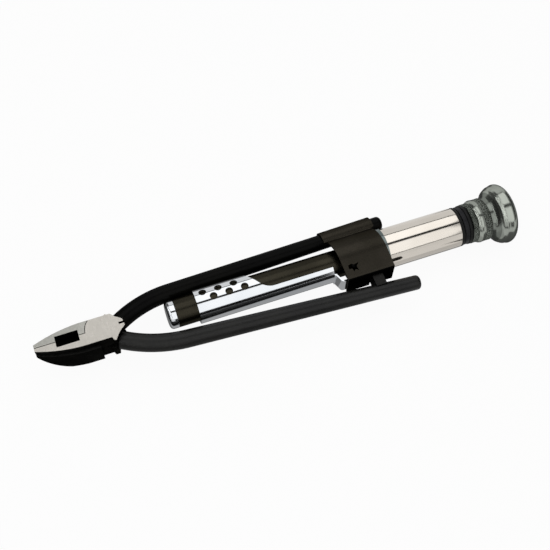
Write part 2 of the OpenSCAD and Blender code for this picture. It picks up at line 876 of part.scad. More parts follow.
// Turned knob: two knurled bands with a waist, a neck and a bell with a round rim
module knob() {
    rim_r = knob_d / 2;
    band_end = band_one_l + waist_l + band_two_l;
    neck_end = band_end + 1.2;
    rim_z = knob_l - rim_round;
    color("slategray")
        tool()
            along(knob_x)
                difference() {
                    rotate_extrude($fn = 128)
                        polygon(concat(
                            [[0, 0], [band_one_d / 2 - 0.4, 0], [band_one_d / 2, 0.4]],
                            [[band_one_d / 2, band_one_l], [waist_d / 2, band_one_l + 0.3]],
                            [[waist_d / 2, band_one_l + waist_l - 0.4], [band_two_d / 2, band_one_l + waist_l]],
                            [[band_two_d / 2, band_end - 0.3], [band_two_d / 2 - 0.3, band_end]],
                            [[band_two_d / 2 - 0.3, neck_end], [band_two_d / 2, neck_end + 0.4]],
                            arc([rim_r - bell_round, rim_z], bell_round, -bell_a, 0, 6),
                            arc([rim_r - rim_round, rim_z], rim_round, 15, 90, 5),
                            [[0, knob_l]]));
                    translate([0, 0, -past])
                        cylinder(h = shank_end - knob_x + past + seat_fit, r = shank_r + seat_fit);
                    cylinder(h = knob_l, r = screw_d / 2 + seat_fit);
                    translate([0, 0, screw_seat - knob_x])
                        cylinder(h = knob_l, r = screw_head_d / 2 + 0.1);
                }
}

// Screw that draws the knob onto the rod
module knob_screw() {
    color("silver")
        tool() {
            along(shank_end - 5.5)
                cylinder(h = screw_seat - shank_end + 5.6, r = screw_d / 2);
            along(screw_seat + seat_fit)
                difference() {
                    cylinder(h = 2.8, r = screw_head_d / 2);
                    translate([0, 0, 1.2])
                        cylinder(h = 2, r = 2, $fn = 6);
                }
        }
}

front_half();
rear_half();
pivot_rivet();
upper_grip();
lower_grip();
bracket();
tube_collar();
barrel();
barrel_cap();
housing_tube();
front_bush();
clutch_race();
clutch_rollers();
drive_nut();
thrust_washers();
rear_bush();
tube_bumper();
lock_slide();
lock_catch();
catch_keeper();
catch_rivets();
spring_cup();
return_spring();
spiral_rod();
rod_collar();
knob_band();
knob_bumper();
knob();
knob_screw();
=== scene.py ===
"""Studio scene of a pair of safety wire twisting pliers.

The tool lies along +X from the jaws to the pull knob. Its pivot is the Z axis and
its own axis lies AXIS_Z above the underside of the head. Sizes are in millimetres
and become metres where a mesh is made. Angles in fields are in degrees.
"""

import logging
from dataclasses import dataclass, field, replace
from enum import Enum
from functools import lru_cache
from math import acos, asin, cos, degrees, pi, radians, sin, tan
from typing import Any, Callable

import bmesh
import bpy
import numpy as np
from mathutils import Matrix, Vector
from mathutils.geometry import delaunay_2d_cdt


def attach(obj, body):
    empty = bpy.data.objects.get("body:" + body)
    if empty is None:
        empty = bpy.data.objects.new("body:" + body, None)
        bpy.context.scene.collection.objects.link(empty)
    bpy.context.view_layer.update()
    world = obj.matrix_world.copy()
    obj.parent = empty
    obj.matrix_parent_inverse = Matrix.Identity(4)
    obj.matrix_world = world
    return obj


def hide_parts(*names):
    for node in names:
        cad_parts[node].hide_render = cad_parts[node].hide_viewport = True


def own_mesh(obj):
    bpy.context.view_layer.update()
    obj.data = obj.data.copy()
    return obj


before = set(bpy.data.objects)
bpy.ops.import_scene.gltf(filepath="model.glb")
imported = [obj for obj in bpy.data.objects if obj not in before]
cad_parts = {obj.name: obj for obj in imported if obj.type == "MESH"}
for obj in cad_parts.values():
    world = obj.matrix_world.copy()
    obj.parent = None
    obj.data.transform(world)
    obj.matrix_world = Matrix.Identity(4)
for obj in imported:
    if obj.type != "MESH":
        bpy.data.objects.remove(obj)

log = logging.getLogger("wire_pliers")
MM = 0.001
AXIS_Z = 7.5
WELD_M = 2e-6
FLAT_ANGLE = 1.0
BEVEL_ANGLE = 40.0
BEVEL_PARTS = 2
NOISE_SPAN = (0.3, 0.7)
TINT_STOPS = (0.35, 0.65)
SHADE_BLACK = (0.004, 0.004, 0.004, 1.0)
BLACK = (0.0, 0.0, 0.0, 1.0)
WHITE = (1.0, 1.0, 1.0, 1.0)
MIX_FIRST, MIX_SECOND, MIX_COLOUR = 6, 7, 2
HULL_TRIANGLES, SAME_POINT = 0, 1e-5

Array = np.ndarray
Mesh = bpy.types.Mesh
Object = bpy.types.Object
Socket = bpy.types.NodeSocket
Pair = tuple[float, float]
Triple = tuple[float, float, float]
Faces = list[list[int]]
Carry = Callable[[Array], Array]


class Body(Enum):
    """Moving groups of the tool."""

    FRAME = "frame"
    LEVER = "lower_lever"
    LOCK = "lock"
    CARRIER = "spring_carrier"
    SPINDLE = "spindle"


class Grain(Enum):
    """Stretch of a finish's grain along X, Y and Z."""

    LENGTHWISE = (0.04, 1.0, 1.0)
    ROUND = (1.0, 0.12, 0.12)
    EVEN = (1.0, 1.0, 1.0)


class Graph:
    """Node tree of a material or world, with short calls for the nodes that repeat."""

    def __init__(self, owner: bpy.types.ID, shader: str = "Principled BSDF") -> None:
        """Starts on the nodes that a new material or world has.

        Args:
            owner: The material or world.
            shader: Name of its first shader.
        """
        owner.use_nodes = True
        self.owner = owner
        self.tree = owner.node_tree
        self.shader = self.tree.nodes[shader]

    def feed(self, node: bpy.types.Node, *sources: Any, **named: Any) -> None:
        """Links outputs to a node's inputs, or sets their values.

        Args:
            node: Node to feed.
            *sources: Output or value for each of the first inputs.
            **named: Output or value for inputs by name, with _ for a space.
        """
        pairs = list(zip(node.inputs, sources))
        pairs += [(node.inputs[key.replace("_", " ")], given) for key, given in named.items()]
        for socket, given in pairs:
            if isinstance(given, Socket):
                self.tree.links.new(given, socket)
            else:
                socket.default_value = given

    def add(self, kind: str, out: str, *sources: Any, **named: Any) -> Socket:
        """Adds a node and feeds it.

        Args:
            kind: Blender's name of the node type.
            out: Name of the output to use.
            *sources: Output or value for each of the first inputs.
            **named: Output or value for inputs by name, with _ for a space.

        Returns:
            The output.
        """
        made = self.tree.nodes.new(kind)
        self.feed(made, *sources, **named)
        return made.outputs[out]

    def place(self, grain: Grain) -> Socket:
        """Object coordinates, stretched along the axes.

        Args:
            grain: Stretch along X, Y and Z.

        Returns:
            The vector.
        """
        coords = self.add("ShaderNodeTexCoord", "Object")
        return self.add("ShaderNodeMapping", "Vector", coords, Scale=grain.value)

    def noise(self, grain: Grain, scale: float, detail: float) -> Socket:
        """Noise over stretched coordinates.

        Args:
            grain: Stretch along X, Y and Z.
            scale: Cells per metre.
            detail: Octaves of finer noise.

        Returns:
            The noise value.
        """
        where = self.place(grain)
        return self.add("ShaderNodeTexNoise", "Fac", where, Scale=scale, Detail=detail)

    def span(self, value: Socket, source: Pair, target: Pair) -> Socket:
        """Carries a value from one range to another, and holds it at the ends.

        Args:
            value: Value to carry.
            source: Range that it comes from.
            target: Range that it goes to.

        Returns:
            The new value.
        """
        return self.add("ShaderNodeMapRange", "Result", value, *source, *target)

    def tint(self, value: Socket, *tints: Triple) -> Socket:
        """Colour that goes from one tint to another over a noise value.

        Args:
            value: Noise value.
            *tints: Colours at the low and the high end.

        Returns:
            The colour.
        """
        colour = self.add("ShaderNodeValToRGB", "Color", value)
        for stop, position, tint in zip(colour.node.color_ramp.elements, TINT_STOPS, tints):
            stop.position = position
            stop.color = (*tint, 1.0)
        return colour

    def paint_shade_by_x(self, colour: Socket, start: float, end: float) -> Socket:
        """Painted shade: colour that is near black on one side of a place along the tool and comes
        in by a second place.

        Args:
            colour: Colour from the second place on.
            start: Place along X up to which all is near black.
            end: Place along X where the colour is full, on either side of the first.

        Returns:
            The mixed colour.
        """
        x = self.add("ShaderNodeSeparateXYZ", "X", self.place(Grain.EVEN))
        mix = self.tree.nodes.new("ShaderNodeMix")
        mix.data_type = "RGBA"
        self.feed(mix, self.span(x, (start * MM, end * MM), (0.0, 1.0)))
        mix.inputs[MIX_FIRST].default_value = SHADE_BLACK
        self.tree.links.new(colour, mix.inputs[MIX_SECOND])
        return mix.outputs[MIX_COLOUR]


@dataclass(frozen=True)
class Finish:
    """Surface finish: two tints and two roughnesses over a grain, with a fine relief."""

    name: str
    tint: Triple
    second: Triple
    gloss: Pair
    metal: float = 1.0
    grain: Grain = Grain.EVEN
    grain_per_m: float = 900.0
    grain_octaves: float = 6.0
    patch_per_m: float = 60.0
    patch_octaves: float = 4.0
    strength: float = 0.15
    depth: float = 0.03
    shine: float = 0.5
    edge_tint: float = 1.0
    # Places along X where the colour turns near black: painted shade.
    painted_shade_x: Pair | None = None

    @lru_cache(maxsize=None)
    def material(self) -> bpy.types.Material:
        """Builds the finish's material once.

        Returns:
            The material.
        """
        graph = Graph(bpy.data.materials.new(self.name))
        patches = graph.noise(Grain.EVEN, self.patch_per_m, self.patch_octaves)
        grain = graph.noise(self.grain, self.grain_per_m, self.grain_octaves)
        colour = graph.tint(patches, self.tint, self.second)
        # Lengths that lie under the bracket are painted near black: painted shade.
        if self.painted_shade_x is not None:
            colour = graph.paint_shade_by_x(colour, *self.painted_shade_x)
        bump = graph.add("ShaderNodeBump", "Normal", Height=grain, Strength=self.strength,
                         Distance=self.depth * MM)
        graph.feed(graph.shader, Base_Color=colour, Normal=bump, Metallic=self.metal,
                   Roughness=graph.span(grain, NOISE_SPAN, self.gloss),
                   Specular_IOR_Level=self.shine,
                   Specular_Tint=(self.edge_tint,) * 3 + (1.0,))
        return graph.owner


GROUND_FACE = Finish(
    "ground_face", (0.47, 0.45, 0.41), (0.525, 0.50, 0.46), (0.26, 0.40),
    grain=Grain.ROUND, grain_per_m=2600.0, strength=0.10)
# Darker copy of the ground face for the rear half: painted shade.
GROUND_FACE_PAINTED_SHADE = replace(
    GROUND_FACE, name="ground_face_painted_shade", tint=(0.365, 0.363, 0.335), second=(0.425, 0.42, 0.387))
BLACK_OXIDE = Finish(
    "black_oxide", (0.016, 0.016, 0.015), (0.026, 0.025, 0.024), (0.34, 0.50), edge_tint=0.35)
DIPPED_GRIP = Finish(
    "dipped_grip", (0.005, 0.005, 0.005), (0.009, 0.009, 0.008), (0.30, 0.42),
    metal=0.0, shine=0.28, grain_per_m=700.0, strength=0.25, depth=0.05)
# Darker, less shiny copy of the dipped grip for the upper handle: painted shade.
DIPPED_GRIP_PAINTED_SHADE = replace(
    DIPPED_GRIP, name="dipped_grip_painted_shade", tint=(0.0015, 0.0015, 0.0015),
    second=(0.003, 0.003, 0.0025), gloss=(0.26, 0.38), shine=0.05)
BLACK_SHEET = Finish(
    "black_sheet", (0.028, 0.025, 0.019), (0.037, 0.033, 0.026), (0.30, 0.44),
    edge_tint=0.45, grain_per_m=1500.0, strength=0.12)
# Darker copy of the black sheet for the bracket's flange: painted shade.
BLACK_SHEET_PAINTED_SHADE = replace(
    BLACK_SHEET, name="black_sheet_painted_shade", tint=(0.004, 0.004, 0.004), second=(0.008, 0.008, 0.007),
    gloss=(0.40, 0.55), edge_tint=0.1)
OLIVE_PAINT = Finish(
    "olive_paint", (0.028, 0.025, 0.018), (0.040, 0.036, 0.026), (0.24, 0.34),
    edge_tint=0.5, grain_per_m=1200.0, strength=0.12)
# Past X 113.9 the slide is painted near black: painted shade.
BRIGHT_CHROME = Finish(
    "bright_chrome", (0.76, 0.79, 0.82), (0.83, 0.85, 0.87), (0.05, 0.10),
    grain=Grain.LENGTHWISE, grain_per_m=1400.0, strength=0.02, painted_shade_x=(113.9, 113.6))
# Up to X 118 the tube is painted near black: painted shade.
NICKEL_TUBE = Finish(
    "nickel_tube", (0.74, 0.69, 0.62), (0.80, 0.75, 0.68), (0.07, 0.13),
    grain=Grain.LENGTHWISE, grain_per_m=1400.0, strength=0.03, painted_shade_x=(118.0, 118.5))
# Up to X 127 the collar is painted near black: painted shade.
ZINC_COLLAR = Finish(
    "zinc_collar", (0.14, 0.17, 0.168), (0.19, 0.22, 0.215), (0.20, 0.32), painted_shade_x=(127.0, 127.3))
ZINC_KNOB = Finish(
    "zinc_knob", (0.35, 0.373, 0.336), (0.43, 0.455, 0.408), (0.13, 0.21),
    edge_tint=0.5, grain=Grain.ROUND, grain_per_m=1600.0, strength=0.04)
# Darker copy of the knob's zinc for the bell's hollow flank: painted shade.
ZINC_FLANK_PAINTED_SHADE = replace(
    ZINC_KNOB, name="zinc_flank_painted_shade", tint=(0.20, 0.217, 0.195), second=(0.25, 0.27, 0.24),
    gloss=(0.15, 0.24))
# Darker copy of the knob's zinc for the knurled bands: painted shade in the grooves.
ZINC_KNURL_PAINTED_SHADE = Finish(
    "zinc_knurl_painted_shade", (0.13, 0.142, 0.127), (0.22, 0.237, 0.21), (0.12, 0.20), edge_tint=0.5)
RUBBER_RING = Finish(
    "rubber_ring", (0.003, 0.003, 0.003), (0.006, 0.006, 0.006), (0.40, 0.55),
    metal=0.0, shine=0.2)
SPACER_GREY = Finish(
    "spacer_grey", (0.010, 0.010, 0.012), (0.016, 0.016, 0.018), (0.30, 0.42),
    metal=0.0, shine=0.15)
PLAIN_STEEL = Finish(
    "plain_steel", (0.55, 0.55, 0.54), (0.63, 0.63, 0.61), (0.20, 0.34), grain=Grain.LENGTHWISE)
OILED_BRONZE = Finish("oiled_bronze", (0.42, 0.27, 0.12), (0.50, 0.34, 0.16), (0.24, 0.38))


def circle(sides: int) -> Array:
    """Even angles round a full turn, in radians.

    Args:
        sides: Count of angles.

    Returns:
        The angles.
    """
    return np.linspace(0.0, 2.0 * pi, sides, endpoint=False)


def unit(vectors: Array) -> Array:
    """Vectors brought to a length of 1.

    Args:
        vectors: One vector in each row.

    Returns:
        The unit vectors.
    """
    return vectors / np.linalg.norm(vectors, axis=1, keepdims=True)


def even_line(line: Array, step: float) -> tuple[Array, Array]:
    """Points at even steps along a line.

    Args:
        line: Points of the line.
        step: Length of a step, about.

    Returns:
        Length from the start and point, at each step.
    """
    run = np.concatenate([[0.0], np.cumsum(np.linalg.norm(np.diff(line, axis=0), axis=1))])
    along = np.linspace(0.0, run[-1], int(run[-1] / step))
    return along, np.stack([np.interp(along, run, line[:, k]) for k in (0, 1)], 1)


def ring_quads(rows: int, cols: int) -> Faces:
    """Quads of a grid of points whose last column joins the first.

    Args:
        rows: Points along the shape.
        cols: Points round the shape.

    Returns:
        Point numbers of each quad.
    """
    row = np.arange(rows - 1)[:, None] * cols
    col = np.arange(cols)[None, :]
    after = (col + 1) % cols
    corners = [row + col, row + after, row + cols + after, row + cols + col]
    return np.stack(corners, -1).reshape(-1, 4).tolist()


def turned(profile: Array, sides: int) -> tuple[Array, Faces]:
    """Surface of revolution: (x, r cos t, r sin t) about the tool axis for each point (x, r).

    Args:
        profile: Points (x, r) along the outline.
        sides: Points round the axis.

    Returns:
        Points and quads.
    """
    turn = circle(sides)
    x = np.repeat(profile[:, :1], sides, axis=1)
    y = profile[:, 1:] * np.cos(turn)
    z = AXIS_Z + profile[:, 1:] * np.sin(turn)
    return np.stack([x, y, z], -1).reshape(-1, 3), ring_quads(len(profile), sides)


def rounded(corners: list[Triple], steps: int = 5) -> Array:
    """Outline with rounded corners.

    Each corner c with cut points a and b becomes (1 - t)^2 a + 2 t (1 - t) c + t^2 b.

    Args:
        corners: Points (x, r, rounding) along the outline; the ends stay as they are.
        steps: Parts of each rounding.

    Returns:
        Points along the outline.
    """
    points = np.array(corners)[:, :2]
    size = np.array(corners)[1:-1, 2:]
    middle = points[1:-1]
    first, second = (
        middle + leg * np.minimum(size / np.linalg.norm(leg, axis=1, keepdims=True), 0.5)
        for leg in (points[:-2] - middle, points[2:] - middle))
    t = np.linspace(0.0, 1.0, steps + 1)[None, :, None]
    arcs = ((1 - t) ** 2 * first[:, None] + 2 * t * (1 - t) * middle[:, None]
            + t**2 * second[:, None])
    return np.concatenate([points[:1], arcs.reshape(-1, 2), points[-1:]])


def inside(points: Array, loop: Array) -> Array:
    """Says which points lie in a closed loop, by the edges that a ray along +X crosses.

    Args:
        points: Points to test.
        loop: Corners of the loop.

    Returns:
        True for each point inside.
    """
    a, b = loop[None], np.roll(loop, -1, axis=0)[None]
    x, y = points[:, :1], points[:, 1:]
    spans = (a[..., 1] > y) != (b[..., 1] > y)
    rise = np.where(a[..., 1] == b[..., 1], 1.0, b[..., 1] - a[..., 1])
    cross = a[..., 0] + (y - a[..., 1]) * (b[..., 0] - a[..., 0]) / rise
    return (spans & (x < cross)).sum(1) % 2 == 1


def flat_pattern(loops: list[Array], grid: tuple[Array, Array],
                 margin: float) -> tuple[Array, Array]:
    """Triangles of a flat pattern with holes, with grid points inside so that it can bend.

    Args:
        loops: Corners of the pattern, and then of each hole.
        grid: Grid lines along the two directions of the pattern.
        margin: Least distance of a grid point from an edge.

    Returns:
        Pattern points and triangles.
    """
    def within(points: Array) -> Array:
        return np.logical_xor.reduce([inside(points, loop) for loop in loops])

    inner = np.stack(np.meshgrid(*grid), -1).reshape(-1, 2)
    border = np.concatenate(loops)
    clear = np.sqrt(((inner[:, None] - border[None]) ** 2).sum(-1)).min(1) > margin
    coords = np.concatenate([border, inner[within(inner) & clear]])
    edges, start = [], 0
    for loop in loops:
        number = np.arange(len(loop))
        edges.append(np.stack([number, np.roll(number, -1)], 1) + start)
        start += len(loop)
    found, _, tris, *_ = delaunay_2d_cdt(
        [Vector(p) for p in coords], np.concatenate(edges).tolist(), [],
        HULL_TRIANGLES, SAME_POINT)
    points, tris = np.array(found), np.array(tris)
    return points, tris[within(points[tris].mean(1))]


def bent_sheet(points: Array, tris: Array, outer: Carry, inner: Carry) -> tuple[Array, Faces]:
    """Closed sheet: the pattern on its outer and inner skins, with quads along free edges.

    Args:
        points: Pattern points.
        tris: Pattern triangles.
        outer: Place of a pattern point on the outer skin.
        inner: Place of a pattern point on the inner skin.

    Returns:
        Points and faces.
    """
    edges = np.concatenate([tris[:, [0, 1]], tris[:, [1, 2]], tris[:, [2, 0]]])
    key = np.sort(edges, axis=1)
    _, first, count = np.unique(key, axis=0, return_index=True, return_counts=True)
    free = edges[first[count == 1]]
    n = len(points)
    rim = np.stack([free[:, 1], free[:, 0], free[:, 0] + n, free[:, 1] + n], 1)
    faces = tris.tolist() + (tris[:, ::-1] + n).tolist() + rim.tolist()
    return np.concatenate([outer(points), inner(points)]), faces


def closed_mesh(points: Array, faces: Faces) -> Mesh:
    """Mesh from points and faces, with doubled points joined and faces turned outwards.

    Args:
        points: Points in millimetres.
        faces: Point numbers of each face.

    Returns:
        The new mesh.
    """
    mesh = bpy.data.meshes.new("piece")
    mesh.from_pydata((points * MM).tolist(), [], faces)
    work = bmesh.new()
    work.from_mesh(mesh)
    bmesh.ops.remove_doubles(work, verts=work.verts, dist=WELD_M)
    bmesh.ops.recalc_face_normals(work, faces=work.faces)
    work.to_mesh(mesh)
    work.free()
    return mesh


def add_piece(name: str, mesh: Mesh, finish: Finish, body: Body,
              nodes: tuple[str, ...], sharp: float = 35.0) -> Object:
    """Shades a mesh, links it as a piece and puts it on its body.

    Args:
        name: Name of the piece.
        mesh: Finished mesh.
        finish: Finish of its first material.
        body: Group that the piece moves with.
        nodes: Solids that the piece stands for.
        sharp: Angle over which an edge stays sharp.

    Returns:
        The new object.
    """
    mesh.name = name
    mesh.shade_smooth()
    mesh.set_sharp_from_angle(angle=radians(sharp))
    mesh.materials.append(finish.material())
    piece = bpy.data.objects.new(name, mesh)
    bpy.context.scene.collection.objects.link(piece)
    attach(piece, body.value)
    if nodes:
        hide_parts(*nodes)
    log.info("%s: %d faces", name, len(mesh.polygons))
    return piece


def solid_piece(name: str, node: str, body: Body, edge: float) -> Object:
    """Black steel piece in a solid's own shape, with flat faces merged and edges broken.

    Args:
        name: Name of the piece.
        node: Solid that it stands for.
        body: Group that it moves with.
        edge: Width of the broken edges.

    Returns:
        The new object.
    """
    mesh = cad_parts[node].data.copy()
    mesh.materials.clear()
    work = bmesh.new()
    work.from_mesh(mesh)
    bmesh.ops.remove_doubles(work, verts=work.verts, dist=WELD_M)
    bmesh.ops.dissolve_limit(work, angle_limit=radians(FLAT_ANGLE), verts=work.verts,
                             edges=work.edges)
    work.to_mesh(mesh)
    work.free()
    piece = add_piece(name, mesh, BLACK_OXIDE, body, (node,), sharp=30.0)
    bevel = piece.modifiers.new("edges", "BEVEL")
    bevel.width = edge * MM
    bevel.segments = BEVEL_PARTS
    bevel.limit_method = "ANGLE"
    bevel.angle_limit = radians(BEVEL_ANGLE)
    return piece


def values(items: Any, what: str, width: int = 3, kind: type = float) -> Array:
    """Reads one value of all points, corners or faces of a mesh.

    Args:
        items: The mesh's points, corners or faces.
        what: Blender's name of the value.
        width: Numbers in the value.
        kind: Type of the numbers.

    Returns:
        One row for each item.
    """
    found = np.zeros(len(items) * width, kind)
    items.foreach_get(what, found)
    return found.reshape(-1, width)


def repaint(mesh: Mesh, index: Array, *finishes: Finish) -> None:
    """Gives some faces of a mesh other finishes.

    Args:
        mesh: Mesh with one finish.
        index: For each face 0 for the finish that it has, or the number of a new one.
        *finishes: New finishes, from 1 on.
    """
    for finish in finishes:
        mesh.materials.append(finish.material())
    mesh.polygons.foreach_set("material_index", index.astype(np.int32))


@dataclass
class Head:
    """Lap-jointed jaws: the solids' shapes with broken edges, ground faces and black sides."""

    edge: float = 0.28
    top: float = 15.0
    face_reach: float = 0.1
    level: float = 0.95

    def build(self) -> None:
        """Makes both halves of the head."""
        for name, node, body, ground in (
            ("jaw_front_half", "front_half", Body.FRAME, GROUND_FACE),
            # The rear half's ground faces get the darker copy: painted shade.
            ("jaw_rear_half", "rear_half", Body.LEVER, GROUND_FACE_PAINTED_SHADE),
        ):
            piece = solid_piece(name, node, body, self.edge)
            piece.modifiers["edges"].harden_normals = True
            self.dress(piece.data, ground)

    def dress(self, mesh: Mesh, ground: Finish) -> None:
        """Gives the ground finish to the flat faces at the top and bottom of the head.

        Args:
            mesh: Mesh of one half.
            ground: Finish of its flat faces.
        """
        height = values(mesh.polygons, "center")[:, 2] / MM
        level = np.abs(values(mesh.polygons, "normal")[:, 2]) > self.level
        outer = (height > self.top - self.face_reach) | (height < self.face_reach)
        repaint(mesh, level & outer, ground)


@dataclass
class Handle:
    """Dipped coating of one handle: neck, bend, tapering run and rounded end."""

    name: str
    node: str
    body: Body
    finish: Finish
    side: float
    neck_y: float
    bend_r: float
    run_a: float
    end_x: float
    neck_x: float = 8.5
    neck_a: float = 30.0
    start: float = 8.18
    radius: float = 4.1
    end_radius: float = 3.4
    end_round: float = 1.8
    neck_rows: int = 8
    bend_rows: int = 40
    run_rows: int = 60
    tip_rows: int = 9
    sides: int = 64

    def path(self) -> tuple[Array, Array, Array]:
        """Centre line: straight along the neck, an arc of bend_r to run_a, then straight.

        Returns:
            Points (x, y), direction angles and radii along the line. The radius is level to
            the bend's end and tapers after it, and is 0 at both ends, which closes them.
        """
        first = np.array([self.neck_x, self.neck_y])
        along = np.array([cos(radians(self.neck_a)), sin(radians(self.neck_a))])
        back = first @ along - self.start
        neck = first + np.linspace(-back, 0.0, self.neck_rows)[:, None] * along
        turn = np.radians(np.linspace(self.neck_a, self.run_a, self.bend_rows))
        hub = first + self.bend_r * np.array([along[1], -along[0]])
        bend = hub + self.bend_r * np.stack([-np.sin(turn), np.cos(turn)], 1)
        way = np.array([cos(turn[-1]), sin(turn[-1])])
        length = (self.end_x - bend[-1, 0]) / way[0]
        steps = np.linspace(0.0, length - self.end_round, self.run_rows)[1:, None]
        run = bend[-1] + steps * way
        curl = np.linspace(0.0, pi / 2, self.tip_rows)[1:]
        tip = run[-1] + self.end_round * np.sin(curl)[:, None] * way
        points = np.concatenate([neck[:1], neck, bend[1:], run, tip, tip[-1:]])
        bent = self.neck_rows + self.bend_rows
        angles = np.concatenate([np.full(self.neck_rows + 1, turn[0]), turn[1:],
                                 np.full(len(points) - bent, turn[-1])])
        radii = np.concatenate([
            [0.0], np.full(bent - 1, self.radius),
            np.linspace(self.radius, self.end_radius, self.run_rows)[1:],
            self.end_radius - self.end_round * (1.0 - np.cos(curl)), [0.0]])
        return points, angles, radii

    def build(self) -> None:
        """Makes the coating as a circle of radius r(s) carried square to the centre line."""
        points, angles, radii = self.path()
        turn = circle(self.sides)[None]
        reach = radii[:, None] * np.cos(turn)
        x = points[:, :1] - reach * np.sin(angles)[:, None]
        y = points[:, 1:] + reach * np.cos(angles)[:, None]
        z = AXIS_Z + radii[:, None] * np.sin(turn)
        place = np.stack([x, self.side * y, z], -1).reshape(-1, 3)
        mesh = closed_mesh(place, ring_quads(len(points), self.sides))
        add_piece(self.name, mesh, self.finish, self.body, (self.node,), sharp=60.0)


@dataclass
class Turning:
    """Plain turned piece: an outline of (x, r, rounding) corners spun about the tool axis."""

    name: str
    node: str
    body: Body
    slot: str
    finish: Finish
    corners: list[Triple]
    sides: int = 128

    def build(self) -> None:
        """Makes the piece from its rounded outline."""
        mesh = closed_mesh(*turned(rounded(self.corners), self.sides))
        add_piece(self.name, mesh, self.finish, self.body, (self.node,))


def sleeve(ends: Pair, bore: float, radius: float, rounding: Pair) -> list[Triple]:
    """Outline of a tube or ring.

    Args:
        ends: Places of its front and rear along X.
        bore: Inner radius.
        radius: Outer radius.
        rounding: Rounding of its outer edges, front and rear.

    Returns:
        Corners (x, r, rounding), closed.
    """
    front, rear = ends
    return [(front, bore, 0.0), (front, radius, rounding[0]), (rear, radius, rounding[1]),
            (rear, bore, 0.0), (front, bore, 0.0)]


@dataclass
class Barrel:
    """Barrel, cap, housing tube and the rubber ring behind it."""

    radius: float = 6.5
    bore: float = 5.7
    ends: Pair = (32.7, 120.6)
    breaks: Pair = (0.25, 0.2)
    cap: float = 4.2
    cap_round: float = 2.6
    cap_gap: float = 0.05
    lip_round: float = 0.25
    spigot: float = 3.0
    spigot_round: float = 0.2
    tube_r: float = 9.525
    tube_bore: float = 8.525
    tube_ends: Pair = (114.4, 170.4)
    tube_breaks: Pair = (0.3, 0.3)
    ring_r: float = 9.45
    ring_bore: float = 3.3
    ring: Pair = (170.45, 172.05)
    ring_breaks: Pair = (0.4, 0.5)

    def build(self) -> None:
        """Makes the cap with its spigot, the painted barrel, the tube and its end ring."""
        front = self.ends[0]
        nose, lip, foot = front - self.cap, front - self.cap_gap, front + self.spigot
        inner = self.bore - self.cap_gap
        cap = [(nose, 0.0, 0.0), (nose, self.radius, self.cap_round),
               (lip, self.radius, self.lip_round), (lip, inner, 0.0),
               (foot, inner, self.spigot_round), (foot, 0.0, 0.0)]
        shell = sleeve(self.ends, self.bore, self.radius, self.breaks)
        tube = sleeve(self.tube_ends, self.tube_bore, self.tube_r, self.tube_breaks)
        ring = sleeve(self.ring, self.ring_bore, self.ring_r, self.ring_breaks)
        for name, node, slot, finish, corners in (
            ("barrel_end_cap", "barrel_cap", "bright_chrome", BRIGHT_CHROME, cap),
            ("barrel_shell", "barrel", "barrel_paint", OLIVE_PAINT, shell),
            ("spring_housing_tube", "housing_tube", "nickel_tube", NICKEL_TUBE, tube),
            ("tube_end_ring", "tube_bumper", "bumper_rubber", RUBBER_RING, ring),
        ):
            Turning(name, node, Body.FRAME, slot, finish, corners).build()


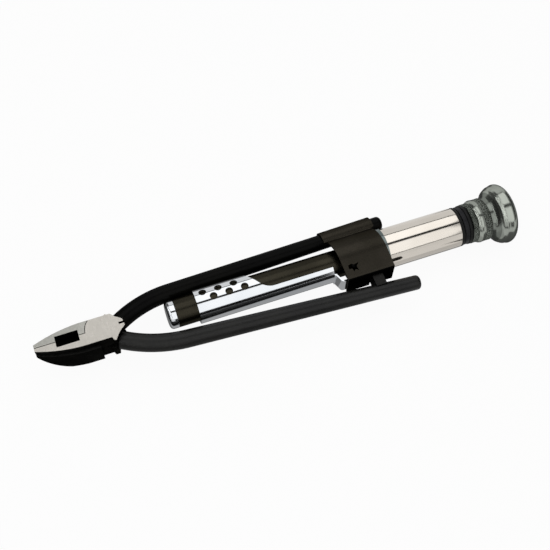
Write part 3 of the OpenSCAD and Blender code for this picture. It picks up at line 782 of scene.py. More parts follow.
@dataclass
class Knob:
    """Pull knob with two knurled bands, and the spacer and rubber ring in front of it."""

    front: float = 176.25
    length: float = 21.6
    rim_r: float = 14.5
    rim_round: float = 3.4
    rim_rows: int = 12
    neck: float = 2.3
    flare: float = 2.6
    shoulder: float = 3.0
    shoulder_back: float = 3.9
    shoulder_drop: float = 0.9
    bell_rows: int = 14
    plain: float = 1.0
    bulge: float = 0.42
    bulge_less: float = 0.5
    bulge_rows: int = 16
    band_one_r: float = 9.6
    band_two_r: float = 10.3
    waist_r: float = 9.5
    bands: Triple = (2.7, 2.3, 4.6)
    band_rows: tuple[int, int] = (15, 17)
    front_break: float = 0.35
    step: float = 0.3
    ridges: int = 60
    ridge_h: float = 0.48
    knurl_one: Pair = (0.5, 0.1)
    knurl_two: Pair = (0.1, 0.4)
    same_r: float = 0.01
    ring_pitch: float = 2.3
    ring_h: float = 0.09
    ring_from: float = 3.2
    flank_to: float = 13.3
    row: float = 0.24
    sides: int = 504
    bore: float = 3.45
    bore_end: float = 9.95
    screw_bore: float = 2.05
    screw_seat: float = 18.0
    head_r: float = 4.1
    spacer: Pair = (172.35, 174.55)
    spacer_r: float = 9.15
    spacer_breaks: Pair = (0.25, 0.25)
    bumper: Pair = (174.6, 176.2)
    bumper_r: float = 9.45
    bumper_breaks: Pair = (0.5, 0.5)

    def build(self) -> None:
        """Makes the knob and the two rings in front of it."""
        self.bell()
        Turning("knob_spacer", "knob_band", Body.SPINDLE, "band_grey", SPACER_GREY,
                sleeve(self.spacer, self.bore, self.spacer_r, self.spacer_breaks)).build()
        Turning("knob_rubber_ring", "knob_bumper", Body.SPINDLE, "bumper_rubber", RUBBER_RING,
                sleeve(self.bumper, self.bore, self.bumper_r, self.bumper_breaks)).build()

    def outline(self) -> Array:
        """Outline from the bore's mouth, over the bands and the bell, to the screw's seat.

        Returns:
            Points (x, r), with close rows in the knurled bands.
        """
        one, waist, two = np.cumsum(self.bands)
        rim, plain = self.length - self.rim_round, waist + self.plain
        one_r, two_r = self.band_one_r, self.band_two_r
        edge = np.linspace(0.0, pi / 2, self.rim_rows)[1:]
        lip = np.stack([rim + self.rim_round * np.sin(edge),
                        self.rim_r - self.rim_round * (1.0 - np.cos(edge))], 1)
        face = [[0.0, self.bore], [0.0, one_r - self.front_break]]
        band_one = np.linspace([self.front_break, one_r], [one, one_r], self.band_rows[0])
        rise = np.linspace(0.0, 1.0, self.bulge_rows)
        swell = np.stack([
            one + self.step + (plain - one - self.bulge_less) * rise,
            self.waist_r + (two_r - self.waist_r) * rise + self.bulge * np.sin(pi * rise)], 1)
        band_two = np.linspace([plain, two_r], [two - self.step, two_r], self.band_rows[1])
        neck_r = two_r - self.step
        bell = self.ringed(rounded([
            (two, neck_r, 0.0), (two + self.neck, neck_r, self.flare),
            (rim - self.shoulder_back, self.rim_r - self.shoulder_drop, self.shoulder),
            (rim, self.rim_r, 0.0)], self.bell_rows))
        bore_end = self.length - self.bore_end
        back = [[self.length, self.head_r], [self.screw_seat, self.head_r],
                [self.screw_seat, self.screw_bore], [bore_end, self.screw_bore],
                [bore_end, self.bore], [0.0, self.bore]]
        points = np.concatenate([face, band_one, swell, band_two, bell, lip, back])
        points[:, 0] += self.front
        return points

    def ringed(self, line: Array) -> Array:
        """Turns shallow rings into the bell: r falls by ring_h (1 - cos(2 pi s / ring_pitch)) / 2.

        Args:
            line: Outline of the bell as (x, r), from its neck to its rim.

        Returns:
            The same outline in even steps of its length s, with whole rings from ring_from on.
        """
        along, fine = even_line(line, self.row)
        rings = int((along[-1] - self.ring_from) / self.ring_pitch)
        phase = np.clip((along - self.ring_from) / self.ring_pitch, 0.0, rings)
        fine[:, 1] -= self.ring_h * (1.0 - np.cos(2.0 * pi * phase)) / 2.0
        return fine

    def bell(self) -> None:
        """Makes the knob: its outline spun about the axis, with diamonds cut into the bands.

        In a band, r falls by ridge_h where either of two crossing sets of helices, at the angle
        t plus or minus x / band_one_r, has one of its grooves, as |sin(ridges angle / 2)| is 0.
        """
        outline = self.outline()
        points, quads = turned(outline, self.sides)
        grid = points.reshape(len(outline), self.sides, 3)
        one, waist, two = np.cumsum(self.bands) + self.front
        x, r = outline[:, :1], outline[:, 1:]
        start, stop = self.front + self.knurl_one[0], one - self.knurl_one[1]
        in_one = (r > self.band_one_r - self.same_r) & (x > start) & (x < stop)
        start, stop = waist + self.plain + self.knurl_two[0], two - self.knurl_two[1]
        in_two = (np.abs(r - self.band_two_r) < self.same_r) & (x > start) & (x < stop)
        turn = circle(self.sides)[None]
        lean = x / self.band_one_r
        first = np.abs(np.sin(self.ridges * (turn + lean) / 2.0))
        second = np.abs(np.sin(self.ridges * (turn - lean) / 2.0))
        groove = self.ridge_h * (1.0 - np.minimum(first, second)) * (in_one | in_two)
        share = 1.0 - groove / np.maximum(r, 1.0)
        grid[..., 1] *= share
        grid[..., 2] = AXIS_Z + (grid[..., 2] - AXIS_Z) * share
        piece = add_piece("pull_knob", closed_mesh(grid.reshape(-1, 3), quads), ZINC_KNOB,
                          Body.SPINDLE, ("knob",), sharp=50.0)
        self.dress(piece.data)

    def dress(self, mesh: Mesh) -> None:
        """Gives the knurled bands and the bell's hollow flank darker copies of the zinc finish:
        painted shade.

        Args:
            mesh: The knob's mesh.
        """
        x = values(mesh.polygons, "center")[:, 0] / MM - self.front
        one, waist, two = np.cumsum(self.bands)
        knurl = (x < one + self.knurl_one[1]) | ((x > waist + self.plain) & (x < two))
        flank = (x >= two) & (x < self.flank_to)
        repaint(mesh, knurl * 1 + flank * 2, ZINC_KNURL_PAINTED_SHADE, ZINC_FLANK_PAINTED_SHADE)


@dataclass
class SpiralRod:
    """Twisted square rod with its front journal and the shank in the knob."""

    journal: Pair = (42.8, 50.1)
    journal_r: float = 2.0
    half_side: float = 2.12
    squareness: float = 7.0
    shank: Pair = (172.35, 187.85)
    shank_r: float = 3.4
    lead: float = 36.0
    rows: int = 260
    sides: int = 64

    def build(self) -> None:
        """Makes the rod: its radius is a / (|cos p|^n + |sin p|^n)^(1/n).

        Here p = t - 2 pi x / lead, and n is squareness, or 2 where the rod is round.
        """
        (tip, neck), (foot, end) = self.journal, self.shank
        x = np.concatenate([[tip, tip, neck], np.linspace(neck, foot, self.rows),
                            [foot, end, end]])[:, None]
        size = np.concatenate([
            [0.0, self.journal_r, self.journal_r], np.full(self.rows, self.half_side),
            [self.shank_r, self.shank_r, 0.0]])[:, None]
        n = np.concatenate([[2.0] * 3, np.full(self.rows, self.squareness), [2.0] * 3])[:, None]
        turn = circle(self.sides)[None]
        phase = turn - 2.0 * pi * x / self.lead
        radius = size / (np.abs(np.cos(phase)) ** n + np.abs(np.sin(phase)) ** n) ** (1.0 / n)
        place = np.stack([np.repeat(x, self.sides, 1), radius * np.cos(turn),
                          AXIS_Z + radius * np.sin(turn)], -1).reshape(-1, 3)
        add_piece("twisted_rod", closed_mesh(place, ring_quads(len(x), self.sides)), PLAIN_STEEL,
                  Body.SPINDLE, ("spiral_rod",), sharp=50.0)


@dataclass
class ReturnSpring:
    """Coil between the sliding cup and the front bush, which pulling the knob closes up; here it is
    built at rest and rides the carrier.
    """

    front: float = 50.56
    rear: float = 120.09
    coil_r: float = 4.75
    wire_r: float = 0.45
    turns: int = 10
    steps: int = 36
    sides: int = 14
    pull: float = 52.0

    def build(self) -> None:
        """Makes the wire: a circle along (x0 + l s, R cos(2 pi n s), R sin(2 pi n s))."""
        rows = self.turns * self.steps + 1
        way = np.concatenate([[0.0], np.linspace(0.0, 1.0, rows), [1.0]])[:, None]
        wire = np.concatenate([[0.0], np.full(rows, self.wire_r), [0.0]])[:, None]
        turn = 2.0 * pi * self.turns * way
        around = circle(self.sides)[None]
        radius = self.coil_r + wire * np.cos(around)
        x = self.front + (self.rear - self.front) * way + wire * np.sin(around)
        place = np.stack([x, radius * np.cos(turn), AXIS_Z + radius * np.sin(turn)], -1)
        mesh = closed_mesh(place.reshape(-1, 3), ring_quads(rows + 2, self.sides))
        piece = add_piece("coil_spring", mesh, PLAIN_STEEL, Body.CARRIER,
                          ("return_spring",), sharp=60.0)
        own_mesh(piece)


@dataclass
class LockSlide:
    """Chromed lock slide: thumb sleeve with staggered holes, arm and jogged tongue."""

    front: float = 42.4
    sleeve_end: float = 70.7
    arm_end: float = 106.4
    inner_r: float = 6.8
    outer_r: float = 7.9
    slant: float = 38.0
    slant_rows: int = 30
    slot_a: float = 36.0
    arm_top: float = 56.0
    arm_low: float = 60.0
    low_cut: Pair = (1.5, 8.0)
    corner: float = 4.0
    corner_rows: int = 8
    corner_back: int = 6
    spacing: Pair = (1.5, 3.0)
    grid_from: Pair = (0.8, -141.0)
    grid_to: float = 144.0
    grid_step: Pair = (1.6, 4.0)
    margin: float = 0.7
    hole_r: float = 1.75
    hole_sides: int = 28
    row_holes: int = 3
    pitch: float = 7.3
    stagger: float = 0.58
    first_hole: float = 3.9
    row_a: float = 12.8
    pad_a: float = 94.7
    tongue_y: float = 11.9
    tongue_t: float = 0.7
    tongue_end: float = 122.1
    tongue_half: float = 4.2
    tongue_rows: int = 8
    tip_half: float = 1.8
    tip_from: Triple = (4.6, 4.7, 5.1)
    tip_run: float = 0.4
    root_half: float = 1.5
    root_in: float = 3.0
    root_from: Pair = (0.4, 0.1)
    root_run: float = 0.3
    root_gap: float = 0.2
    foot: float = 0.6
    jog_slope: float = 0.35
    rounding: tuple[float, ...] = (0.0, 0.1, 0.1, 0.4, 0.9, 0.2, 0.2, 0.0)
    same_way: float = 0.97

    def outline(self) -> Array:
        """Flat pattern of the sleeve and arm, as (x, angle above the lower handle's side).

        Returns:
            Corners of the pattern.
        """
        far = 180.0 - self.slot_a
        angle = np.linspace(far, self.arm_top, self.slant_rows)
        slope = tan(radians(self.slant))
        edge = self.sleeve_end + self.outer_r * np.cos(np.radians(angle)) * slope
        top = np.stack([edge, angle], 1)[:1 - self.corner_back]
        fillet = np.linspace(0.0, 1.0, self.corner_rows)[1:]
        (x0, a0), x1 = top[-1], edge[-1] + self.corner
        soft = np.stack([x0 + (x1 - x0) * fillet,
                         a0 + (self.arm_top - a0) * (1.0 - (1.0 - fillet) ** 2)], 1)
        cut_x, cut_a = self.low_cut
        tail = [[self.arm_end, self.arm_top], [self.arm_end, -self.arm_low],
                [self.sleeve_end + cut_x, -self.arm_low],
                [self.sleeve_end, -self.arm_low - cut_a], [self.sleeve_end, -far],
                [self.front, -far], [self.front, far]]
        loop = np.concatenate([top, soft, tail])
        after = np.roll(loop, -1, axis=0)
        counts = np.ceil(np.abs((after - loop) / self.spacing).max(1)).astype(int)
        return np.concatenate([a + (b - a) * np.arange(n)[:, None] / n
                               for a, b, n in zip(loop, after, np.maximum(counts, 1))])

    def holes(self) -> list[Array]:
        """Thumb holes in two staggered rows about the pad's middle.

        Returns:
            Points round each hole.
        """
        turn = circle(self.hole_sides)
        loops = []
        for row, sign in enumerate((1.0, -1.0)):
            for i in range(self.row_holes):
                x = self.front + self.first_hole + (i + self.stagger * row) * self.pitch
                angle = self.pad_a + sign * self.row_a
                half = degrees(1.0) * self.hole_r / self.outer_r
                loops.append(np.stack([x + self.hole_r * np.cos(turn),
                                       angle + half * np.sin(turn)], 1))
        return loops

    def skin(self, radius: float) -> Carry:
        """Carries pattern points (x, a) to (x, -r cos a, r sin a).

        Args:
            radius: Radius of the skin.

        Returns:
            Function from pattern points to places.
        """
        def carry(points: Array) -> Array:
            a = np.radians(points[:, 1])
            return np.stack([points[:, 0], -radius * np.cos(a), AXIS_Z + radius * np.sin(a)], 1)
        return carry

    def tongue(self) -> tuple[Array, Faces]:
        """Jogged strip: a bent line in plan, thickened, from inside the arm to the tip.

        Returns:
            Points and faces.
        """
        foot = self.arm_end + self.foot
        step = foot + self.jog_slope * (self.tongue_y - self.outer_r + self.tongue_t)
        y0 = self.inner_r + self.root_gap + self.tongue_t / 2
        y1 = self.tongue_y - self.tongue_t / 2
        root, tip = self.root_from, self.tip_from
        x = (self.arm_end - self.root_in, self.arm_end - root[0], self.arm_end - root[1], foot,
             step, step + tip[1], step + tip[2], self.tongue_end)
        y = (y0,) * 4 + (y1,) * 4
        plan = rounded(list(zip(x, y, self.rounding)), self.tongue_rows)
        way = unit(np.gradient(plan, axis=0))
        side = np.stack([-way[:, 1], way[:, 0]], 1) * self.tongue_t / 2
        narrow = np.clip((plan[:, 0] - step - tip[0]) / self.tip_run, 0.0, 1.0)
        high = self.tongue_half + (self.tip_half - self.tongue_half) * narrow
        out = np.clip((plan[:, 0] - self.arm_end + root[0]) / self.root_run, 0.0, 1.0)
        high = self.root_half + (high - self.root_half) * out
        ring = [(plan + side, -high), (plan + side, high), (plan - side, high),
                (plan - side, -high)]
        grid = np.stack([np.column_stack([p[:, 0], -p[:, 1], AXIS_Z + h]) for p, h in ring], 1)
        last = (len(plan) - 1) * 4
        ends = [[0, 1, 2, 3], [last + 3, last + 2, last + 1, last]]
        return grid.reshape(-1, 3), ring_quads(len(plan), 4) + ends

    def build(self) -> None:
        """Makes the slide from its bent pattern and its tongue."""
        grid = (np.arange(self.front + self.grid_from[0], self.arm_end, self.grid_step[0]),
                np.arange(self.grid_from[1], self.grid_to, self.grid_step[1]))
        points, tris = flat_pattern([self.outline(), *self.holes()], grid, self.margin)
        place, faces = bent_sheet(points, tris, self.skin(self.outer_r), self.skin(self.inner_r))
        strip, strip_faces = self.tongue()
        faces += (np.array(strip_faces) + len(place)).tolist()
        piece = add_piece("thumb_lock_slide", closed_mesh(np.concatenate([place, strip]), faces),
                          BRIGHT_CHROME, Body.LOCK, ("lock_slide",))
        self.true_normals(piece.data, len(place))

    def true_normals(self, mesh: Mesh, sheet_points: int) -> None:
        """Sets radial normals on the round skins, so that the chrome reflects without facets.

        Args:
            mesh: Mesh of the slide.
            sheet_points: Points of the bent sheet, before those of the tongue.
        """
        points = values(mesh.vertices, "co") / MM
        loops = values(mesh.loops, "vertex_index", 1, np.int32)[:, 0]
        sizes = values(mesh.polygons, "loop_total", 1, np.int32)[:, 0]
        face_normal = np.repeat(values(mesh.polygons, "normal"), sizes, axis=0)
        radial = unit(points[loops] * [0.0, 1.0, 1.0] - [0.0, 0.0, AXIS_Z])
        facing = (radial * face_normal).sum(1, keepdims=True)
        smooth = (np.abs(facing) > self.same_way) & (loops[:, None] < sheet_points)
        normals = np.where(smooth, radial * np.sign(facing), face_normal)
        mesh.normals_split_custom_set(normals.tolist())


@dataclass
class Bracket:
    """Stamped black bracket: wraps the upper handle, saddles the tube and drops a flange."""

    mid_x: float = 120.65
    length: float = 22.7
    skew: float = 6.0
    sheet: float = 0.8
    saddle_r: float = 10.225
    saddle_rows: int = 160
    wrap_r: float = 3.7
    wrap_a: float = 75.0
    wrap_rows: int = 120
    wrap_more: float = 2.6
    more_run: Pair = (1.5, 0.3)
    slip_run: Pair = (4.0, 0.5)
    handle_y: float = 13.652
    run_a: float = 1.6
    skirt_a: float = 114.0
    flange_y: float = 13.0
    flange_d: float = 5.0
    fold_skip: float = 0.1
    notch_x: Pair = (121.95, 127.7)
    notch_top: float = 4.1
    notch_cut: float = 0.5
    hole_at: Pair = (16.7, 5.7)
    hole_scale: Pair = (-1.35, 1.15)
    hole: tuple[Pair, ...] = (
        (0.7, -2.2), (1.0, -0.7), (0.5, 0.1), (0.8, 2.3), (-0.3, 1.1),
        (-1.9, 1.6), (-1.2, 0.4), (-1.8, -0.5), (-0.7, -0.9), (-0.6, -2.2))
    soften: float = 0.55
    soften_reach: int = 3
    step: float = 0.1
    edge_rows: int = 160
    grid_step: Pair = (0.5, 1.2)
    grid_more: float = 3.0
    margin: float = 0.3

    def section(self) -> tuple[Array, Array, float]:
        """Outer line of the section, as (y, z) about the tool axis, with softened folds.

        It follows the wrap's circle, the saddle's circle and two straight legs, and a bell-shaped
        mean over soften millimetres rounds the valley and the fold.

        Returns:
            Points every step along the line, outward normals, and the length of the wrap.
        """
        outer, wrap = self.saddle_r + self.sheet, self.wrap_r + self.sheet
        valley_y = (self.handle_y**2 + outer**2 - wrap**2) / (2 * self.handle_y)
        valley = acos(valley_y / outer)
        wrap_end = pi - asin(outer * sin(valley) / wrap)
        skirt = radians(self.skirt_a)
        fold = (outer + self.flange_y * cos(skirt)) / sin(skirt)
        round_handle = np.linspace(radians(-self.wrap_a), wrap_end, self.wrap_rows)
        round_tube = np.linspace(valley, skirt, self.saddle_rows)[1:]
        wrap_line = np.stack([self.handle_y + wrap * np.cos(round_handle),
                              wrap * np.sin(round_handle)], 1)
        tube_line = outer * np.stack([np.cos(round_tube), np.sin(round_tube)], 1)
        legs = np.array([[-self.flange_y, fold], [-self.flange_y, -self.flange_d]])
        line = even_line(np.concatenate([wrap_line, tube_line, legs]), self.step)[1]
        reach = int(self.soften_reach * self.soften / self.step)
        bell = np.exp(-0.5 * (np.arange(-reach, reach + 1) * self.step / self.soften) ** 2)
        padded = np.concatenate([2 * line[0] - line[reach:0:-1], line,
                                 2 * line[-1] - line[-2:-reach - 2:-1]])
        soft = np.stack([np.convolve(padded[:, k], bell / bell.sum(), "valid") for k in (0, 1)], 1)
        way = unit(np.gradient(soft, axis=0))
        normal = np.stack([way[:, 1], -way[:, 0]], 1)
        return soft, normal, wrap * (wrap_end + radians(self.wrap_a))

    def build(self) -> None:
        """Makes the bracket from a flat pattern (s, x), bent along the section."""
        line, normal, wrap_l = self.section()
        s = np.arange(len(line)) * self.step
        lean = tan(radians(self.skew))
        half = self.length / 2 / cos(radians(self.skew))

        def ease(at: Array, run: Pair) -> Array:
            return np.clip((wrap_l - at) / run[0] + run[1], 0.0, 1.0)

        def carry(depth: float) -> Carry:
            def place(points: Array) -> Array:
                at, x = points.T
                y, z, ny, nz = (np.interp(at, s, row) for row in (*line.T, *normal.T))
                slip = ease(at, self.slip_run)
                shift = slip * (x - self.mid_x) * tan(radians(self.run_a))
                return np.stack([x, y - depth * ny + shift, AXIS_Z + z - depth * nz], 1)
            return place

        edge_s = np.linspace(0.0, s[-1], self.edge_rows)
        edge_y = np.interp(edge_s, s, line[:, 0])
        front = np.stack([edge_s, self.mid_x - half - edge_y * lean], 1)
        more = self.wrap_more * ease(edge_s, self.more_run)
        rear = np.stack([edge_s, self.mid_x + half - edge_y * lean + more], 1)[::-1]
        top, cut = s[-1] - self.flange_d - self.notch_top, self.notch_cut
        low, high = self.notch_x
        notch = [[s[-1], low], [top + cut, low], [top, low + cut], [top, high - cut],
                 [top + cut, high], [s[-1], high]]
        hole_s, hole_x = self.hole_at
        hole = np.array(self.hole) * self.hole_scale + [s[-1] - hole_s, self.mid_x - hole_x]
        step_s, step_x = self.grid_step
        start, stop = self.mid_x - half - self.grid_more, self.mid_x + half + self.grid_more
        grid = (np.arange(step_s, s[-1], step_s), np.arange(start, stop, step_x))
        points, tris = flat_pattern([np.concatenate([front, notch, rear]), hole], grid, self.margin)
        mesh = closed_mesh(*bent_sheet(points, tris, carry(0.0), carry(self.sheet)))
        piece = add_piece("stamped_bracket", mesh, BLACK_SHEET, Body.FRAME,
                          ("bracket",), sharp=45.0)
        self.dress(piece.data)

    def dress(self, mesh: Mesh) -> None:
        """Gives the flange below the fold a darker, duller copy of the sheet's finish: painted
        shade.

        Args:
            mesh: The bracket's mesh.
        """
        y = values(mesh.polygons, "center")[:, 1] / MM
        # Faces of the flange, past the fold toward -Y, get the painted shade.
        repaint(mesh, y < self.sheet / 2 - self.flange_y - self.fold_skip, BLACK_SHEET_PAINTED_SHADE)


@dataclass
class Catch:
    """Lock catch: the solid's shape with broken edges."""

    edge: float = 0.35

    def build(self) -> None:
        """Makes the catch."""
        solid_piece("lock_catch_block", "lock_catch", Body.LEVER, self.edge)


@dataclass
class Works:
    """Pieces of the drive and the catch that keep the solids' own shapes."""

    finishes: dict[str, Finish] = field(default_factory=lambda: {
        "pivot_rivet": PLAIN_STEEL, "tube_collar": ZINC_COLLAR, "front_bush": OILED_BRONZE,
        "clutch_race": PLAIN_STEEL, "clutch_rollers": PLAIN_STEEL, "drive_nut": OILED_BRONZE,
        "thrust_washers": PLAIN_STEEL, "rear_bush": OILED_BRONZE, "spring_cup": PLAIN_STEEL,
        "rod_collar": PLAIN_STEEL, "knob_screw": PLAIN_STEEL,
        "catch_keeper": BLACK_SHEET, "catch_rivets": PLAIN_STEEL})

    def dress(self) -> None:
        """Gives each of these solids its finish."""
        for node, finish in self.finishes.items():
            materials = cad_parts[node].data.materials
            materials.clear()
            materials.append(finish.material())
            log.info("%s: %s", node, finish.name)


@dataclass(frozen=True)
class Strip:
    """Card along the tool, at an angle of rise from the upper handle's side."""

    name: str
    rise: float
    half: float
    shade: float
    x_from: float = -1400.0
    x_to: float = 1600.0


@dataclass(frozen=True)
class Hoop:
    """Lit band (reach cos a, reach sin a) round the tool's axis, for rings on the knob's bell."""

    name: str
    x_from: float
    x_to: float
    shade: float = 2.4
    rise_from: float = 38.0
    rise_to: float = 160.0
    reach: float = 850.0
    parts: int = 32


@dataclass(frozen=True)
class FloorCard:
    """Card that lies on the floor between two places along X and two across Y; the ones by the tube
    and under the knob are painted shadow.
    """

    name: str
    x: Pair
    y: Pair
    shade: float


@dataclass(frozen=True)
class Lamp:
    """Square soft lamp that reflections don't see."""

    name: str
    place: Triple
    size: float
    power: float = 2.0


@dataclass
class Studio:
    """Floor, world, soft lamps, cards for the reflections and the camera."""

    floor_z: float = -7.0
    floor_half: float = 4000.0
    floor_tint: float = 0.9
    floor_rough: float = 0.9
    floor_glow: float = 0.94
    floor_mirrored: float = 0.75
    sky: float = 0.72
    fill: float = 0.45
    end_shade: float = 0.06
    end_x: Pair = (-900.0, 1250.0)
    end_half: Pair = (900.0, 420.0)
    card_lift: float = 0.2
    strip_reach: float = 900.0
    strips: tuple[Strip, ...] = (
        Strip("back_softbox", 67.0, 23.5, 1.25, -180.0, 670.0),
        Strip("back_knob_card", 67.0, 23.5, 0.42, 670.0),
        Strip("back_line", 41.0, 2.5, 0.08), Strip("top_line", 97.0, 5.8, 0.02),
        Strip("front_softbox", 132.0, 27.0, 1.12, -180.0, 670.0),
        Strip("front_knob_card", 132.0, 27.0, 0.42, 670.0),
        Strip("front_line", 161.0, 1.6, 0.05, 330.0),
        Strip("front_low_card", 171.7, 10.0, 0.01, 50.0, 330.0),
        Strip("back_dark_card", 67.0, 23.5, 0.03, x_to=-180.0),
        Strip("front_dark_card", 132.0, 27.0, 0.03, x_to=-180.0),
        Strip("back_low_card", 19.0, 19.5, 0.10, x_to=-60.0),
        Strip("front_bars_low", 170.0, 10.0, 0.05, x_to=-700.0))
    hoops: tuple[Hoop, ...] = (
        Hoop("near_hoop", -300.0, -245.0), Hoop("middle_hoop", -470.0, -390.0),
        Hoop("far_hoop", -740.0, -620.0))
    floor_cards: tuple[FloorCard, ...] = (
        FloorCard("front_floor_card", (-900.0, 122.0), (-900.0, -110.0), 0.02),
        FloorCard("near_floor_card", (-900.0, 118.0), (-110.0, -8.0), 0.36),
        FloorCard("back_floor_card", (-900.0, 126.0), (-8.0, 900.0), 0.16),
        # Painted shadow on the floor beside and under the tube and under the knob, as reflections
        # see it.
        FloorCard("tube_side_shadow_card", (126.0, 184.0), (-30.0, -11.0), 0.55),
        FloorCard("tube_floor_shadow_card", (126.0, 184.0), (-11.0, 9.0), 0.28),
        FloorCard("knob_floor_shadow_card", (184.5, 400.0), (-60.0, 60.0), 0.16))
    softboxes: tuple[Lamp, ...] = (
        Lamp("overhead_softbox", (60.0, 250.0, 900.0), 700.0),
        Lamp("front_softbox", (-500.0, -600.0, 600.0), 600.0))
    eye: Triple = (6.24, -186.16, 367.42)
    azimuth: float = -21.591
    elevation: float = 60.413
    roll: float = 1.936
    focal_px: float = 899.9
    frame_px: float = 550.0
    sensor: float = 36.0
    clip_m: Pair = (0.01, 50.0)
    middle: Triple = (84.0, 0.0, 0.0)

    def build(self) -> None:
        """Sets up everything round the tool."""
        self.floor()
        self.world()
        self.lamps()
        self.cards()
        self.camera()
        bpy.context.scene.view_settings.view_transform = "Standard"

    def drawn(self, name: str, line: list[Pair], x: Pair) -> Object:
        """Stage piece: a line (y, z) drawn out along X.

        Args:
            name: Name of the piece.
            line: Points (y, z) in millimetres.
            x: Places of its two ends.

        Returns:
            The new object.
        """
        points = np.array([(end, *point) for end in x for point in line])
        n = len(line)
        return self.sheet(name, points, [[i, i + 1, n + i + 1, n + i] for i in range(n - 1)])

    @staticmethod
    def sheet(name: str, points: Array, faces: Faces) -> Object:
        """Stage piece from points and faces.

        Args:
            name: Name of the piece.
            points: Points in millimetres.
            faces: Point numbers of each face.

        Returns:
            The new object.
        """
        mesh = bpy.data.meshes.new(name)
        mesh.from_pydata((points * MM).tolist(), [], faces)
        piece = bpy.data.objects.new(name, mesh)
        bpy.context.scene.collection.objects.link(piece)
        return piece

    def floor(self) -> None:
        """Pale floor that shows near white, keeps a faint shadow and is dimmer in reflections."""
        half, x = self.floor_half, self.middle[0]
        line = [(-half, self.floor_z), (half, self.floor_z)]
        piece = self.drawn("studio_floor", line, (x - half, x + half))
        graph = Graph(bpy.data.materials.new("pale_floor"))
        graph.feed(graph.shader, Base_Color=(self.floor_tint,) * 3 + (1.0,),
                   Roughness=self.floor_rough)
        glow = graph.add("ShaderNodeEmission", "Emission")
        dim = graph.add("ShaderNodeEmission", "Emission", Strength=self.floor_mirrored)
        path = graph.tree.nodes.new("ShaderNodeLightPath").outputs
        share = graph.add("ShaderNodeMath", "Value", path["Is Camera Ray"], self.floor_glow)
        share.node.operation = "MULTIPLY"
        dull = graph.shader.outputs["BSDF"]
        seen = graph.add("ShaderNodeMixShader", "Shader", share, dull, glow)
        shown = graph.add("ShaderNodeMixShader", "Shader", path["Is Glossy Ray"], seen, dim)
        graph.feed(graph.tree.nodes["Material Output"], shown)
        piece.data.materials.append(graph.owner)

    def world(self) -> None:
        """White background for the camera, with softer light and reflections from it."""
        graph = Graph(bpy.data.worlds.new("studio"), "Background")
        graph.feed(graph.shader, WHITE, self.fill)
        white, sky = (graph.add("ShaderNodeBackground", "Background", WHITE, strength)
                      for strength in (1.0, self.sky))
        path = graph.tree.nodes.new("ShaderNodeLightPath").outputs
        seen = graph.add("ShaderNodeMath", "Value", path["Is Camera Ray"],
                         path["Is Transmission Ray"])
        seen.node.operation = "MAXIMUM"
        fill = graph.shader.outputs["Background"]
        mirror = graph.add("ShaderNodeMixShader", "Shader", path["Is Glossy Ray"], fill, sky)
        shown = graph.add("ShaderNodeMixShader", "Shader", seen, mirror, white)
        graph.feed(graph.tree.nodes["World Output"], shown)
        bpy.context.scene.world = graph.owner

    def lamps(self) -> None:
        """Two large soft lamps, one over the tool and one from the front left."""
        for box in self.softboxes:
            lamp = bpy.data.lights.new(box.name, "AREA")
            lamp.shape = "SQUARE"
            lamp.size = box.size * MM
            lamp.energy = box.power
            lamp_object = bpy.data.objects.new(box.name, lamp)
            lamp_object.location = Vector(box.place) * MM
            aim = Vector(self.middle) - Vector(box.place)
            lamp_object.rotation_euler = aim.to_track_quat("-Z", "Y").to_euler()
            lamp_object.visible_glossy = False
            bpy.context.scene.collection.objects.link(lamp_object)

    def cards(self) -> None:
        """Cards that only reflections see: they draw the bands along the polished pieces."""
        for strip in self.strips:
            rise, wide = radians(strip.rise), tan(radians(strip.half))
            line = [(self.strip_reach * (cos(rise) - side * sin(rise)),
                     AXIS_Z + self.strip_reach * (sin(rise) + side * cos(rise)))
                    for side in (-wide, wide)]
            self.card(self.drawn(strip.name, line, (strip.x_from, strip.x_to)), strip.shade)
        for hoop in self.hoops:
            line = [(hoop.reach * cos(a), AXIS_Z + hoop.reach * sin(a)) for a in
                    np.radians(np.linspace(hoop.rise_from, hoop.rise_to, hoop.parts + 1))]
            self.card(self.drawn(hoop.name, line, (hoop.x_from, hoop.x_to)), hoop.shade)
        wide, high = self.end_half
        for name, x in zip(("jaw_end_panel", "knob_end_panel"), self.end_x):
            points = [(x, -wide, 0.0), (x, wide, 0.0), (x, wide, 2 * high), (x, -wide, 2 * high)]
            self.card(self.sheet(name, np.array(points), [[0, 1, 2, 3]]), self.end_shade)
        for flat in self.floor_cards:
            line = [(y, self.floor_z + self.card_lift) for y in flat.y]
            self.card(self.drawn(flat.name, line, flat.x), flat.shade)

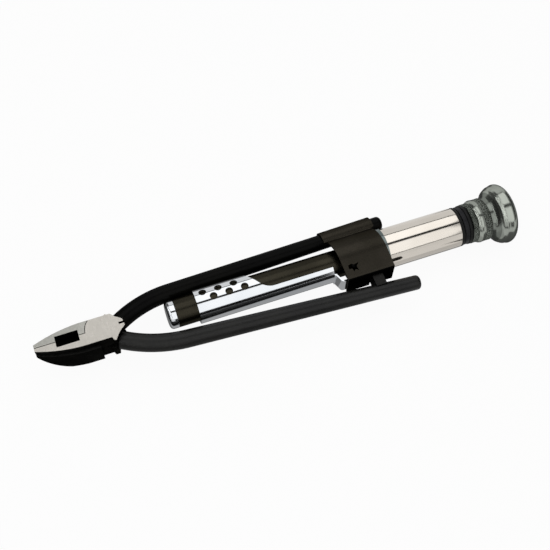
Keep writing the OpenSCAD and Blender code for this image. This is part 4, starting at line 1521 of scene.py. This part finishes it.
    @staticmethod
    def card(piece: Object, shade: float) -> None:
        """Gives a stage piece an even glow that only reflections see.

        Args:
            piece: Stage piece to light.
            shade: Strength of its glow.
        """
        graph = Graph(bpy.data.materials.new(piece.name))
        graph.feed(graph.shader, Base_Color=BLACK, Specular_IOR_Level=0.0,
                   Emission_Color=WHITE, Emission_Strength=shade)
        piece.data.materials.append(graph.owner)
        piece.visible_camera = False
        piece.visible_diffuse = False
        piece.visible_shadow = False
        piece.visible_transmission = False

    def camera(self) -> None:
        """Camera at the photograph's angle: its axes from azimuth, elevation and roll."""
        az, el, roll = radians(self.azimuth), radians(self.elevation), radians(self.roll)
        back = Vector((sin(az) * cos(el), -cos(az) * cos(el), sin(el)))
        level = Vector((cos(az), sin(az), 0.0))
        upright = back.cross(level)
        right = level * cos(roll) + upright * sin(roll)
        up = upright * cos(roll) - level * sin(roll)
        view = bpy.data.cameras.new("photo_camera")
        view.sensor_width = self.sensor
        view.lens = self.focal_px * self.sensor / self.frame_px
        view.clip_start, view.clip_end = self.clip_m
        eye = bpy.data.objects.new("photo_camera", view)
        turn = Matrix((right, up, back)).transposed().to_4x4()
        eye.matrix_world = Matrix.Translation(Vector(self.eye) * MM) @ turn
        bpy.context.scene.collection.objects.link(eye)
        bpy.context.scene.camera = eye


def main() -> None:
    """Builds and dresses the tool, piece by piece, and sets up the studio."""
    logging.basicConfig(level=logging.INFO, format="%(name)s %(message)s")
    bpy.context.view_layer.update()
    Head().build()
    # The upper grip wears the darker copy of the dipped finish: painted shade.
    Handle("upper_dipped_grip", "upper_grip", Body.FRAME, DIPPED_GRIP_PAINTED_SHADE, side=1.0,
           neck_y=4.5, bend_r=50.0, run_a=1.6, end_x=138.6).build()
    Handle("lower_dipped_grip", "lower_grip", Body.LEVER, DIPPED_GRIP, side=-1.0,
           neck_y=5.8, bend_r=60.0, run_a=4.1, end_x=143.0).build()
    Barrel().build()
    Knob().build()
    SpiralRod().build()
    ReturnSpring().build()
    LockSlide().build()
    Bracket().build()
    Catch().build()
    Works().dress()
    Studio().build()


if __name__ == "__main__":
    main()
